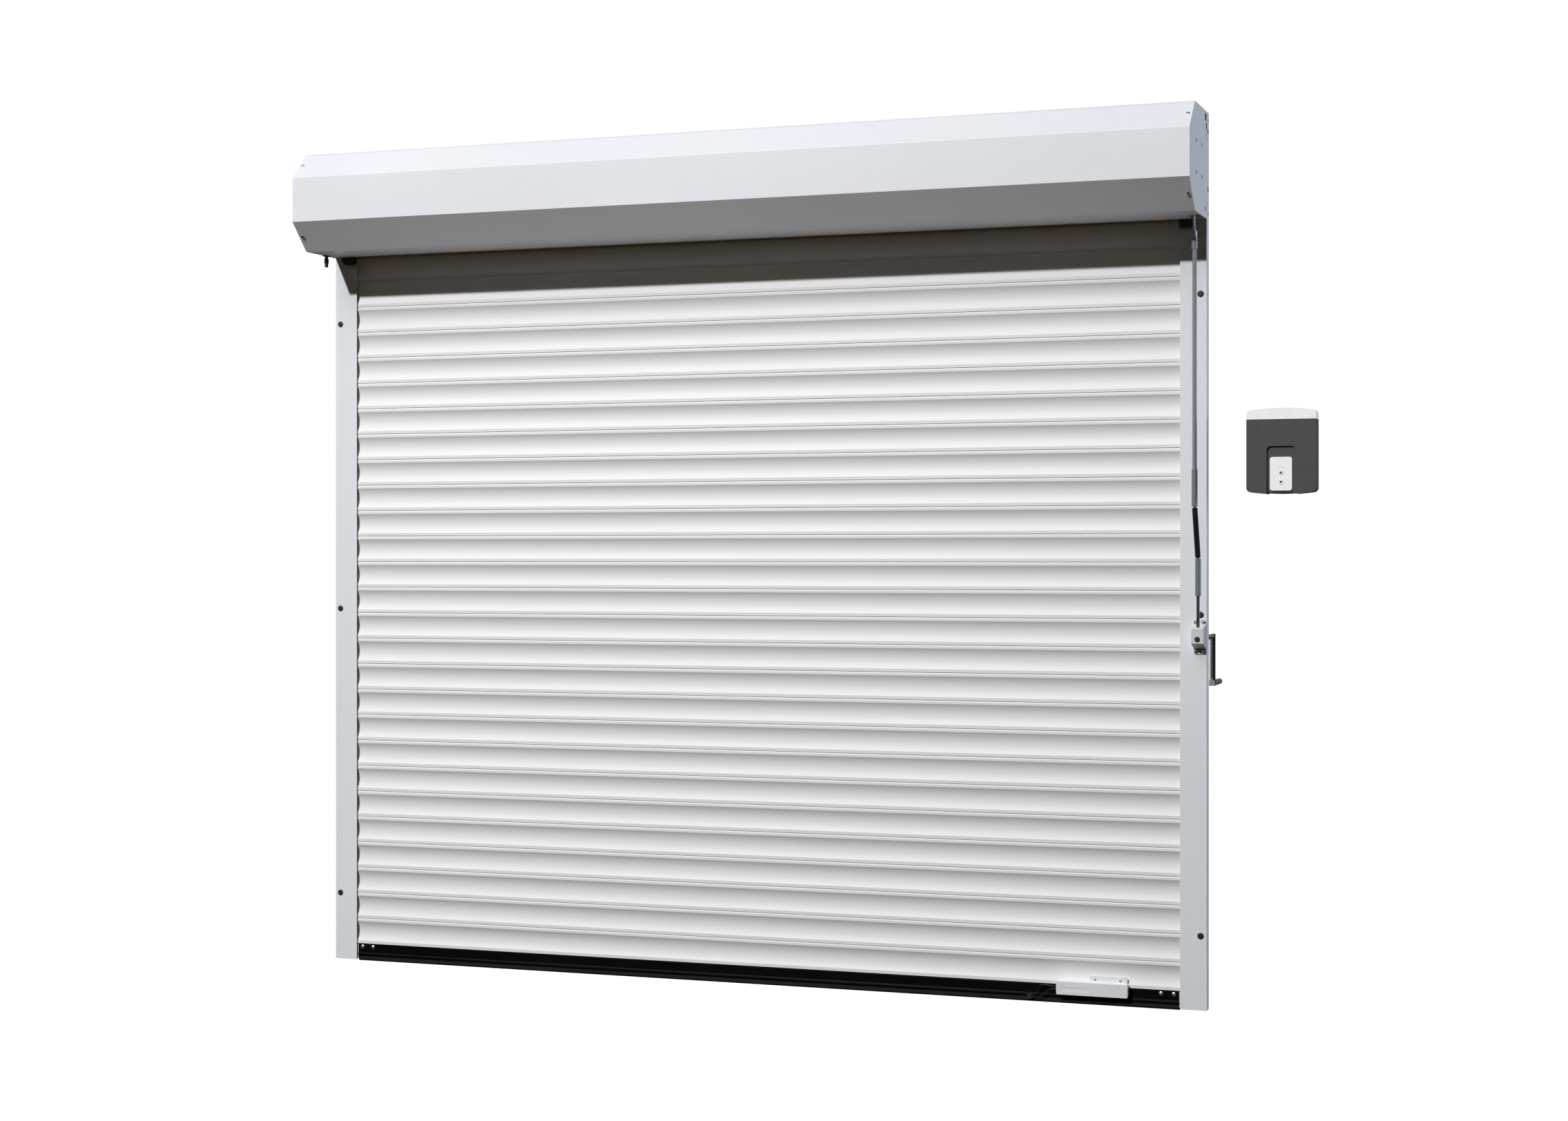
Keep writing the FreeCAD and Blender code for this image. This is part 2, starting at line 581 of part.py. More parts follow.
sliders = []
for side in (-1, 1):
    outline = rounded(-24.6, -6, 6, 49, 3)
    low_x = S.bar_half + 0.2 if side > 0 else -S.slat_half
    sliders.append(extruded("YZ_Plane", [outline], "slat_half - bar_half - 0.2", (low_x, 0, 0)))
node("slat_end_plugs", group(*end_plugs, *sliders))

SENSOR_SCREWS = [(992.3, 69.6), (1060.6, 69.6)]
SENSOR_BACK = -27.3
FLANGE_FRONT = SENSOR_BACK - 2.5
bar_screws = [screw(6, 3, 2, 8, (x, BAR_FACE, BAR_SCREW_Z), (0, -1, 0)) for x in BAR_SCREWS]
bar_screws += [screw(3.5, 2, 1.5, 4, (x, FLANGE_FRONT, z), (0, -1, 0)) for x, z in SENSOR_SCREWS]
node("bottom_bar_screws", group(*bar_screws))

# door sensor: hollow housing with a screwed tab above it
SENSOR_FRONT = -46
SENSOR_SKIN = 2
sensor_shell = extruded("XZ_Plane", [rounded(S.sensor_left, S.sensor_right, S.sensor_low,
                                             S.sensor_high, 4)],
                        SENSOR_BACK - SENSOR_FRONT, (0, SENSOR_BACK, 0))
sensor_tab = extruded("XZ_Plane", [rounded(978, 1079, S.sensor_high - 6, 78.3, 2.5)],
                      SENSOR_BACK - FLANGE_FRONT, (0, SENSOR_BACK, 0))
sensor_room = block("sensor_right - sensor_left - 4", SENSOR_BACK - SENSOR_FRONT - SENSOR_SKIN,
                    "sensor_high - sensor_low - 4",
                    (S.sensor_left + SENSOR_SKIN, SENSOR_FRONT + SENSOR_SKIN,
                     S.sensor_low + SENSOR_SKIN))
battery_recess = block(78, 0.8, 10.3, (905, SENSOR_FRONT - 0.1, 36.6))
wire_holes = [bar(1.3, 6, (S.sensor_left - 2, -38, height), (1, 0, 0)) for height in (40, 45.5)]
tab_holes = [bar(1.6, 6, (x, FLANGE_FRONT - EDGE, z), (0, 1, 0)) for x, z in SENSOR_SCREWS]
node("sensor_housing", cut(fuse(sensor_shell, sensor_tab), sensor_room, battery_recess,
                           *wire_holes, *tab_holes))
sensor_board = block(150, 1.6, 26, (915, -33, 31))
battery = bar(5.4, 50, (930, -38.4, 44), (1, 0, 0))
node("sensor_transmitter", fuse(sensor_board, block(40, 6, 18, (1000, -38.5, 35)),
                                block(54, 5, 12, (928, -37.5, 38)), battery))


def cord_tube(points, radius):
    """Tube along straight runs joined by tangent arcs, each as large as its runs allow."""
    points = [Vector(*point) for point in points]
    edges = []
    start = points[0]
    radii = []
    for before, corner, after in zip(points, points[1:], points[2:]):
        run_in, run_out = corner - before, after - corner
        turn = run_in.getAngle(run_out)
        reach = 0.45 * min(run_in.Length, run_out.Length)
        radii.append(reach / math.tan(turn / 2))
        enter = corner - run_in.normalize() * reach
        leave = corner + run_out.normalize() * reach
        inward = (enter + leave) * 0.5 - corner
        bow = radii[-1] * (1 / math.cos(turn / 2) - 1)
        edges.append(Part.LineSegment(start, enter).toShape())
        edges.append(Part.Arc(enter, corner + inward.normalize() * bow, leave).toShape())
        start = leave
    edges.append(Part.LineSegment(start, points[-1]).toShape())
    path = Part.Wire(edges)
    first = points[1] - points[0]
    ring = Part.Wire(Part.makeCircle(radius, points[0], first))
    tube = path.makePipeShell([ring], True, True)
    print("cord", round(path.Length, 1), "radii", [round(value, 1) for value in radii],
          "volume ratio", round(tube.Volume / (path.Length * math.pi * radius ** 2), 4))
    return tube


WIRE_RADIUS = 1.2
UPPER_WIRE = [(893, -38, 45.5), (880, -38, 46), (868, -37.4, 48.2), (855, -36.4, 50),
              (844.5, -35, 46), (839.5, -33.6, 36), (836.5, -32.4, 26), (829, -31, 18.5),
              (818, -29.5, 15)]
LOWER_WIRE = [(893, -38, 40), (881, -38.2, 40.2), (870, -38, 37), (861, -37, 29.5),
              (852.5, -35.4, 21), (842, -33.4, 16), (831, -31.2, 14.4), (818, -29.2, 10.6)]
node("sensor_wire_upper", fixed_shape(cord_tube(UPPER_WIRE, WIRE_RADIUS)))
node("sensor_wire_lower", fixed_shape(cord_tube(LOWER_WIRE, WIRE_RADIUS)))
node("wire_clip", block(12, 4.6, 13, (808, -31.6, 7.5)))

# suspension straps run from the barrel's upper back edge down to the top slat's hook
STRAP_WIDTH = 30
STRAP_X = [-1000, -500, 0, 500, 1000]
top_of_curtain = S.slat_foot + S.slat_count * S.slat_pitch
corner_y = S.axis_y + S.barrel_flat
strap_outline = [
    (S.axis_y + 15, S.axis_z + S.barrel_flat + 0.2), (S.axis_y + 22, S.axis_z + S.barrel_flat + 0.2),
    (corner_y + 0.4, S.axis_z + 21), (-20.5, top_of_curtain + 7.4), (-18.5, top_of_curtain + 7.4),
    (corner_y + 1.6, S.axis_z + 22), (S.axis_y + 22.4, S.axis_z + S.barrel_flat + 1.4),
    (S.axis_y + 15, S.axis_z + S.barrel_flat + 1.4),
]
node("suspension_straps", group(*[
    extruded("YZ_Plane", [strap_outline], STRAP_WIDTH, (x - STRAP_WIDTH / 2, 0, 0))
    for x in STRAP_X]))

# ------------------------------------------------------------ emergency crank drive
SHAFT_TOP = 1112
LOWER_SLEEVE = (1087.5, 1184.8)
UPPER_SLEEVE = (1319.1, 1416.8)
ROD_TOP = 1986.3
BALL_INSET = 3.8        # depth of a ball's centre inside the mouth of its cup
lower_ball = Vector(S.crank_x, S.drive_y, LOWER_SLEEVE[1] - BALL_INSET)
upper_ball = Vector(S.rod_x, S.rod_y, UPPER_SLEEVE[0] + BALL_INSET)
link_run = upper_ball - lower_ball
link_length = link_run.Length
link_axis = Vector(link_run).normalize()

# gearbox on the right guide rail
BOX_HALF = 16
BOX_FRONT = -70
BOX_LOW, BOX_HIGH = 964, 1004
PLATE_BACK = -S.guide_depth
PLATE_FRONT = PLATE_BACK - 2.5
side_view = [(PLATE_FRONT, 949), (PLATE_FRONT, 1012.5), (BOX_FRONT + 2, BOX_HIGH),
             (BOX_FRONT, BOX_HIGH - 2), (BOX_FRONT, BOX_LOW)]
box_body = extruded("YZ_Plane", [side_view], 2 * BOX_HALF, (S.crank_x - BOX_HALF, 0, 0))
foot_plate = extruded("XZ_Plane", [rounded(S.crank_x - BOX_HALF - 0.5, S.crank_x + BOX_HALF + 0.5,
                                           935, 1026.5, 8)], 2.5, (0, PLATE_BACK, 0))
box_room = block(2 * BOX_HALF - 5, 34.5, 35.2, (S.crank_x - BOX_HALF + 2.5, -67.5, 965.8))
shaft_way = bar("drive_radius + 0.05", 30, (S.crank_x, S.drive_y, 990))
crank_way = bar("crank_radius + 0.05", 10, (S.crank_x, PLATE_FRONT - 5, S.crank_z), (0, 1, 0))
CAP_RADIUS = 7.2
cap_way = bar(CAP_RADIUS - 0.6, 6, (S.crank_x, BOX_FRONT - EDGE, S.crank_z - 1.5), (0, 1, 0))
screw_holes = [bar(2.2, 8, (x, PLATE_FRONT - 3, z), (0, 1, 0)) for x, z in GEARBOX_SCREWS]
node("crank_gearbox_housing", cut(fuse(box_body, foot_plate), box_room, shaft_way, crank_way,
                                  cap_way, *screw_holes))
gearbox_cap = turned([(0, -2), (CAP_RADIUS - 0.7, -2), (CAP_RADIUS - 0.7, 0), (CAP_RADIUS, 0),
                      (CAP_RADIUS, 0.8), (CAP_RADIUS - 0.8, 1.4), (0, 1.4)],
                     (S.crank_x, BOX_FRONT, S.crank_z - 1.5), (0, -1, 0))
node("hole_plugs", group(*plugs, gearbox_cap))
gearbox_screws = []
for x, z in GEARBOX_SCREWS:
    gearbox_screws.append(fuse(
        turned([(2, 0), (5.3, 0), (5.3, 1.2), (2, 1.2)], (x, PLATE_FRONT, z), (0, -1, 0)),
        screw(3.6, 2.6, 2, 7, (x, PLATE_FRONT - 1.2, z), (0, -1, 0))))
node("gearbox_screws", group(*gearbox_screws))

# bevel gears: cones share the point where the two axes cross
TEETH = 12
PITCH_REACH = 9         # pitch radius, and distance of the pitch circle from that point
INNER_SHARE = 0.69      # size of the teeth's small end beside their large end


def bevel_gear(back, hub_radius, first_tooth):
    """Bevel gear with its apex at the origin and its axis along +Z."""
    pitch = 2 * math.pi / TEETH
    root, tip = PITCH_REACH - 0.95, PITCH_REACH + 0.6
    root_z, tip_z = 2 * PITCH_REACH - root, 2 * PITCH_REACH - tip
    blank = Part.makePolygon([Vector(0, 0, root_z * INNER_SHARE),
                              Vector(root * INNER_SHARE, 0, root_z * INNER_SHARE),
                              Vector(root, 0, root_z), Vector(hub_radius, 0, root_z + 1.2),
                              Vector(hub_radius, 0, back), Vector(0, 0, back),
                              Vector(0, 0, root_z * INNER_SHARE)])
    gear = Part.Face(blank).revolve(Vector(), Vector(0, 0, 1), 360)
    teeth = []
    for index in range(TEETH):
        middle = (index + first_tooth) * pitch
        ends = []
        for scale in (INNER_SHARE, 1):
            corners = []
            for radius, height, half in ((root - 0.3, root_z + 0.3, -0.24), (tip, tip_z, -0.11),
                                         (tip, tip_z, 0.11), (root - 0.3, root_z + 0.3, 0.24)):
                angle = middle + half * pitch
                corners.append(Vector(radius * math.cos(angle), radius * math.sin(angle),
                                      height) * scale)
            ends.append(Part.makePolygon(corners + corners[:1]))
        teeth.append(Part.makeLoft(ends, True, True))
    return gear.multiFuse(teeth).removeSplitter()


crossing = Vector(S.crank_x, S.drive_y, S.crank_z)
upright_gear = fixed_shape(bevel_gear(14, S.drive_radius + 1.5, 0.5))
upright_gear.Placement = Placement(crossing, Rotation(Vector(0, 0, 1), 90))
drive_shaft = bar("drive_radius", SHAFT_TOP - S.crank_z - 8, (S.crank_x, S.drive_y, S.crank_z + 8))
node("lower_drive_shaft", fuse(upright_gear, drive_shaft))

crank_gear = fixed_shape(bevel_gear(14, S.crank_radius + 1.5, 0))
crank_gear.Placement = Placement(crossing, Rotation(Vector(1, 0, 0), Vector(0, 0, 1),
                                                    Vector(0, 1, 0), "ZXY"))
HUB_FRONT, ARM_FRONT, ARM_BACK = 96, 150, 158
crank_axle = bar("crank_radius", ARM_FRONT - S.drive_y - 8, (S.crank_x, S.drive_y + 8, S.crank_z),
                 (0, 1, 0))
crank_hub = turned([(S.crank_radius - 1, 0), (6.2, 0), (7, 2), (7, ARM_FRONT - HUB_FRONT),
                    (S.crank_radius - 1, ARM_FRONT - HUB_FRONT)],
                   (S.crank_x, HUB_FRONT, S.crank_z), (0, 1, 0))
node("crank_shaft", fuse(crank_gear, crank_axle, crank_hub))

half_arm = S.arm_width / 2
grip_z = S.crank_z - S.arm_length
arm_outline = [(S.crank_x - half_arm, S.crank_z), via(S.crank_x, S.crank_z + half_arm),
               (S.crank_x + half_arm, S.crank_z), (S.crank_x + half_arm, grip_z),
               via(S.crank_x, grip_z - half_arm), (S.crank_x - half_arm, grip_z)]
arm = extruded("XZ_Plane", [arm_outline], ARM_BACK - ARM_FRONT, (0, ARM_BACK, 0))
GRIP_START = ARM_BACK + 4
PIN_SIZE = 3.5
grip_pin = bar(PIN_SIZE, "grip_length", (S.crank_x, ARM_BACK - 1, grip_z), (0, 1, 0))
pin_block = block(2 * half_arm + 1, 5, 2 * half_arm + 1,
                  (S.crank_x - half_arm - 0.5, ARM_FRONT - 3, grip_z - half_arm - 0.5))
pin_collar = bar(6, GRIP_START - ARM_BACK - 0.3, (S.crank_x, ARM_BACK, grip_z), (0, 1, 0))
node("crank_arm", fuse(arm, grip_pin, pin_block, pin_collar))
grip_bore = PIN_SIZE + RUNNING
node("crank_grip", turned(
    [(grip_bore, 0), (6.6, 0), (7.2, 2), via(8, 60), (7.6, S.grip_length - 6),
     via(6.8, S.grip_length - 2), (4.4, S.grip_length), (0, S.grip_length),
     (0, S.grip_length - 4.4),
     (grip_bore, S.grip_length - 4.4)], (S.crank_x, GRIP_START, grip_z), (0, 1, 0)))


CUP_DEPTH = 10          # of a ball's cup in the end of a sleeve
SOCKET_DEPTH = 25       # of a shaft in the other end
SLEEVE_EDGE = 0.6


def cup_sleeve(low, high, x, y, shaft_bore, shaft_at_bottom):
    """Sleeve with a shaft in one end and a ball cup in the other."""
    length, slim = high - low, S.sleeve_radius - SLEEVE_EDGE
    sleeve = turned([(0, 0), (slim, 0), (S.sleeve_radius, SLEEVE_EDGE),
                     (S.sleeve_radius, length - SLEEVE_EDGE), (slim, length), (0, length)],
                    (x, y, low))
    cup_foot = high - CUP_DEPTH if shaft_at_bottom else low - EDGE
    socket_foot = low - EDGE if shaft_at_bottom else high - SOCKET_DEPTH
    return cut(sleeve, bar("cup_radius", CUP_DEPTH + EDGE, (x, y, cup_foot)),
               bar(shaft_bore, SOCKET_DEPTH + EDGE, (x, y, socket_foot)))


node("lower_sleeve", cup_sleeve(*LOWER_SLEEVE, S.crank_x, S.drive_y, "drive_radius + 0.02", True))
node("upper_sleeve", cup_sleeve(*UPPER_SLEEVE, S.rod_x, S.rod_y, "rod_radius + 0.02", False))

LINK_GAP = 7
link = turned(
    [(0, 0), (S.neck_radius, 0), (S.neck_radius, LINK_GAP), (S.link_radius - 1, LINK_GAP),
     (S.link_radius, LINK_GAP + 1), (S.link_radius, link_length - LINK_GAP - 1),
     (S.link_radius - 1, link_length - LINK_GAP), (S.neck_radius, link_length - LINK_GAP),
     (S.neck_radius, link_length), (0, link_length)], lower_ball, link_axis)
link_slots = []
for distance in (LINK_GAP - EDGE, link_length - LINK_GAP - 15 + EDGE):
    slot = block(3.4, 16, 15, (0, 0, 0))
    slot.Placement = link.Placement.multiply(Placement(Vector(-1.7, -8, distance), Rotation()))
    link_slots.append(cut(slot, bar("neck_radius", 400, lower_ball - link_axis * 100, link_axis)))
node("crank_link", fuse(cut(link, *link_slots), ball("ball_radius", lower_ball),
                        ball("ball_radius", upper_ball)))

rod_foot = UPPER_SLEEVE[1] - SOCKET_DEPTH + 0.5
node("crank_rod", bar("rod_radius", ROD_TOP + 6 - rod_foot, (S.rod_x, S.rod_y, rod_foot)))

CUP_TOP = JOINT_Z + 3
joint_cup = turned([(S.rod_radius + 0.02, 0), (S.sleeve_radius, 0), (S.sleeve_radius, 21),
                    (S.sleeve_radius - 0.8, 22), (S.sleeve_radius, 23),
                    (S.sleeve_radius, CUP_TOP - ROD_TOP), (S.cup_radius, CUP_TOP - ROD_TOP),
                    (S.cup_radius, CUP_TOP - ROD_TOP - 10), (S.rod_radius + 0.02, 7)],
                   (S.rod_x, S.rod_y, ROD_TOP))
cup_screw = bar(2, 3, (S.rod_x + S.sleeve_radius - 1.5, S.rod_y, ROD_TOP + 6), (1, 0, 0))
node("joint_cup", fuse(joint_cup, cup_screw))

TOP_END = eye_foot + eye_depth - 3
top_shaft = turned(
    [(0, 0), (S.neck_radius, 0), (S.neck_radius, 5.5), (6.2, 5.5), (7, 6.5), (7, 20.5),
     (6.2, 21.5), (S.top_radius, 21.5), (S.top_radius, TOP_END), (0, TOP_END)],
    (S.rod_x, S.rod_y, JOINT_Z), TOP_AXIS)
collar_pin = bar(3.6, 3, (S.rod_x - 1, S.rod_y - 2.7 - 5.6, JOINT_Z + 13), (0, -1, 0))
node("top_shaft", fuse(top_shaft, collar_pin, ball("ball_radius", (S.rod_x, S.rod_y, JOINT_Z))))

# ------------------------------------------------------------ release toggle under the left end
toggle_low = 2037.5
half_outline = [(2.6, 0), (4.1, 1.5), (4.1, 9.5), (5.7, 12), (5.7, 24), (3.6, 28),
                (3.6, S.casing_low - 4.2 - toggle_low)]
toggle_outline = [(TOGGLE_X + half, toggle_low + rise) for half, rise in half_outline]
toggle_outline += [(TOGGLE_X - half, toggle_low + rise) for half, rise in half_outline[::-1]]
toggle_tab = extruded("XZ_Plane", [toggle_outline], 6, (0, TOGGLE_Y + 3, 0))
toggle_eye = bar(1.9, 10, (TOGGLE_X, TOGGLE_Y - 5, toggle_low + 4.5), (0, 1, 0))
toggle_stem = bar(2, 34, (TOGGLE_X, TOGGLE_Y, S.casing_low - 5))
toggle_head = bar(4.5, 3, (TOGGLE_X, TOGGLE_Y, S.casing_low + 26))
node("release_toggle", fuse(cut(toggle_tab, toggle_eye), toggle_stem, toggle_head))
toggle_block = block(13, 20, 3, (TOGGLE_X - 6.5, TOGGLE_Y - 10, S.casing_low - 3.2))
node("toggle_seat", cut(toggle_block, toggle_way()))

# ------------------------------------------------------------ control box
half_control = S.control_width / 2
control_left, control_right = S.control_x - half_control, S.control_x + half_control
CROWN = 5
CORNER = 12


def control_outline(inset, low, high):
    """Front view of the control box with its crowned top and bottom edges."""
    left, right = control_left + inset, control_right - inset
    foot, head = low + CROWN, high - CROWN
    pull = CORNER * (1 - math.sqrt(0.5))
    return [
        (left + CORNER, foot), via(S.control_x, low), (right - CORNER, foot),
        via(right - pull, foot + pull), (right, foot + CORNER), (right, head - CORNER),
        via(right - pull, head - pull), (right - CORNER, head),
        via(S.control_x, high), (left + CORNER, head),
        via(left + pull, head - pull), (left, head - CORNER),
        (left, foot + CORNER), via(left + pull, foot + pull),
    ]


def control_slab(inset, low, high, front, back):
    return extruded("XZ_Plane", [control_outline(inset, low, high)], back - front, (0, back, 0))


SKIN = 2.5
CHANNEL_HALF = 33.3
CHANNEL_TOP = 1471
CHANNEL_DEPTH = 6
CHANNEL_SLOPE = 35      # lean of the channel's walls, degrees
TRAY_HALF = CHANNEL_HALF + SKIN + 3.5
NOTCH_HEIGHT = 4.5
KEY_PLATE = (1456.8, 1513.3, 1360.4, 1447)
base_slab = control_slab(2, S.control_low + 2, S.control_high - 2, -S.base_thick, 0)
wall_holes = [bar(2.5, S.base_thick + 2 * EDGE, (S.control_x + dx, -S.base_thick - EDGE, 1462 + dz),
                  (0, 1, 0)) for dx in (-70, 70) for dz in (-85, 85)]
node("control_base", cut(base_slab, *wall_holes))


def control_shell(low, high):
    """Hollow front cover, kept between two heights."""
    outside = control_slab(0, S.control_low, S.control_high, -S.control_depth, -S.base_thick - 0.2)
    inside = control_slab(SKIN, S.control_low + SKIN, S.control_high - SKIN,
                          -S.control_depth + SKIN, -S.base_thick + EDGE)
    keep = block("control_width + 20", "control_depth + 20", high - low,
                 (control_left - 10, -S.control_depth - 10, low))
    kept = doc.addObject("Part::Common", "kept")
    kept.Base = cut(outside, inside)
    kept.Tool = keep
    return kept


def notch(skin, depth):
    """Way across the cover's lower edge under the channel, or with a skin the wall around it."""
    half = CHANNEL_HALF + 1 + skin
    top = S.control_low + NOTCH_HEIGHT + skin
    foot = S.control_low - 1 if skin == 0 else S.control_low + 1.2
    spread = half + top - foot
    outline = [(S.control_x - spread, foot), (S.control_x + spread, foot),
               (S.control_x + half, top), (S.control_x - half, top)]
    return extruded("XZ_Plane", [outline], depth, (0, -S.base_thick - 0.2, 0))


main_shell = control_shell(S.control_low - 5, S.cap_low - 0.3)
channel_way = extruded("XZ_Plane", [rounded(
    S.control_x - CHANNEL_HALF, S.control_x + CHANNEL_HALF, S.control_low - 20, CHANNEL_TOP, 7)],
    CHANNEL_DEPTH + 5, (0, -S.control_depth + CHANNEL_DEPTH, 0))
channel_way.Tip.TaperAngle = CHANNEL_SLOPE
channel_tray = extruded("XZ_Plane", [rounded(
    S.control_x - TRAY_HALF, S.control_x + TRAY_HALF, S.control_low + 1.5,
    CHANNEL_TOP + SKIN + 3.5, 8)], CHANNEL_DEPTH + SKIN - 0.5,
    (0, -S.control_depth + CHANNEL_DEPTH + SKIN, 0))
notch_wall = notch(SKIN, S.control_depth - S.base_thick - 0.5)
notch_way = notch(0, S.control_depth)
plate_left, plate_right, plate_low, plate_high = KEY_PLATE
BUTTON_HEIGHTS = [S.button_high, S.button_low]
CHANNEL_FLOOR = -S.control_depth + CHANNEL_DEPTH
button_ways = [bar("button_radius - 1", 30, (S.control_x - 1, CHANNEL_FLOOR - 10, z), (0, 1, 0))
               for z in BUTTON_HEIGHTS]
node("control_cover", cut(fuse(main_shell, channel_tray, notch_wall), channel_way, notch_way,
                          *button_ways))
node("control_lamp_cap", control_shell(S.cap_low, S.control_high + 10))

PLATE_THICK = 3
key_plate = extruded("XZ_Plane", [rounded(plate_left, plate_right, plate_low, plate_high, 6.5)],
                     PLATE_THICK, (0, CHANNEL_FLOOR - 0.05, 0))
plate_ways = [bar("button_radius + 0.3", 30, (S.control_x - 1, CHANNEL_FLOOR - 20, z), (0, 1, 0))
              for z in BUTTON_HEIGHTS]
led_ways = [bar(1.3, 12, (x, CHANNEL_FLOOR - 8, 1419.5), (0, 1, 0)) for x in (1480.5, 1490.6)]
node("keypad_plate", cut(key_plate, *plate_ways, *led_ways))

for name, z in (("up_button", S.button_high), ("down_button", S.button_low)):
    face = CHANNEL_FLOOR - 0.05 - PLATE_THICK - 1
    stem = S.button_radius - 1.4
    node(name, turned([(0, 0), (S.button_radius - 0.8, 0), (S.button_radius, 0.8),
                       (S.button_radius, 2.4), (stem, 2.4), (stem, 9), (0, 9)],
                      (S.control_x - 1, face, z), (0, 1, 0)))

circuit_board = block(130, 1.6, 150, (S.control_x - 65, -24, 1370))
transformer = block(44, 22, 36, (S.control_x - 55, -46, 1485))
terminals = block(90, 12, 12, (S.control_x - 45, -36, 1375))
relays = [block(16, 14, 20, (S.control_x + dx, -38, 1490)) for dx in (5, 28)]
switches = [bar(3, 8, (S.control_x - 1, -32, z), (0, 1, 0)) for z in BUTTON_HEIGHTS]
node("control_electronics", fuse(circuit_board, transformer, terminals, *relays, *switches))

# ------------------------------------------------------------ build, check and write
doc.recompute()
for feature in doc.Objects:
    if "Invalid" in feature.State or "Error" in feature.State:
        raise RuntimeError(f"{feature.Name} ({feature.Label}) failed: {feature.State}")
for feature in subparts:
    if feature.Shape.isNull() or not feature.Shape.isValid() or not feature.Shape.Solids:
        raise RuntimeError(f"{feature.Label} has a bad shape")

os.makedirs("parts", exist_ok=True)
for feature in subparts:
    feature.Shape.exportStep(f"parts/{feature.Label}.step")
print(len(subparts), "sub-parts written")
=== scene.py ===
import json
import math
import random

import bmesh
import bpy
from mathutils import Matrix, Vector


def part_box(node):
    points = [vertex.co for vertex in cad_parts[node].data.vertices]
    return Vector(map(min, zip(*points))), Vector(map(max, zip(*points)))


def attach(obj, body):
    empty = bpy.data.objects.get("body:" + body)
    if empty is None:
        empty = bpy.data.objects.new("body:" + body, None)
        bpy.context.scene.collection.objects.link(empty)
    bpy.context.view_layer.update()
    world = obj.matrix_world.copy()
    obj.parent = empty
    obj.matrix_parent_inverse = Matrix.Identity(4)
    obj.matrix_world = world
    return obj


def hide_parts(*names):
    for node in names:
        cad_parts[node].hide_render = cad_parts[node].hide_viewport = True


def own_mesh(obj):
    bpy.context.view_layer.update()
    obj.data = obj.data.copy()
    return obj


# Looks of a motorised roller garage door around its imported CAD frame.
# X runs along the wall, +Y goes into the wall, Z is up.  Outlines are in millimetres, and
# everything else is in metres.

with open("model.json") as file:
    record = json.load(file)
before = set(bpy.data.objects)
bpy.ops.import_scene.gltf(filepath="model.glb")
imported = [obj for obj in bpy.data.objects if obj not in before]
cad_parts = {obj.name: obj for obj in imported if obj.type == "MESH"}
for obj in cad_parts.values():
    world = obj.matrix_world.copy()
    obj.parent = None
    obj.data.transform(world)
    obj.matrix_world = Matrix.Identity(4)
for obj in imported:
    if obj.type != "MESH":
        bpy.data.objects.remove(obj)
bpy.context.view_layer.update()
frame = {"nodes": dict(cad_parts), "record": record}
scene = bpy.context.scene
NODES = frame["nodes"]
RECORD = frame["record"]
SLOT_OF = {part["node"]: part["material_slot"] for part in RECORD["subparts"]}
BODY_OF = {node: body for body, nodes in RECORD["behaviour"]["bodies"].items() for node in nodes}
MM = 0.001


# ------------------------------------------------------------ camera
def make_camera():
    data = bpy.data.cameras.new("camera")
    data.sensor_width = 36
    data.lens = 57.63
    data.shift_y = -0.00174
    data.clip_end = 100
    camera = bpy.data.objects.new("camera", data)
    camera.location = (2.4548, -6.5704, 1.1872)
    camera.rotation_euler = (math.radians(90), 0, math.radians(19.665))
    scene.collection.objects.link(camera)
    scene.camera = camera


make_camera()


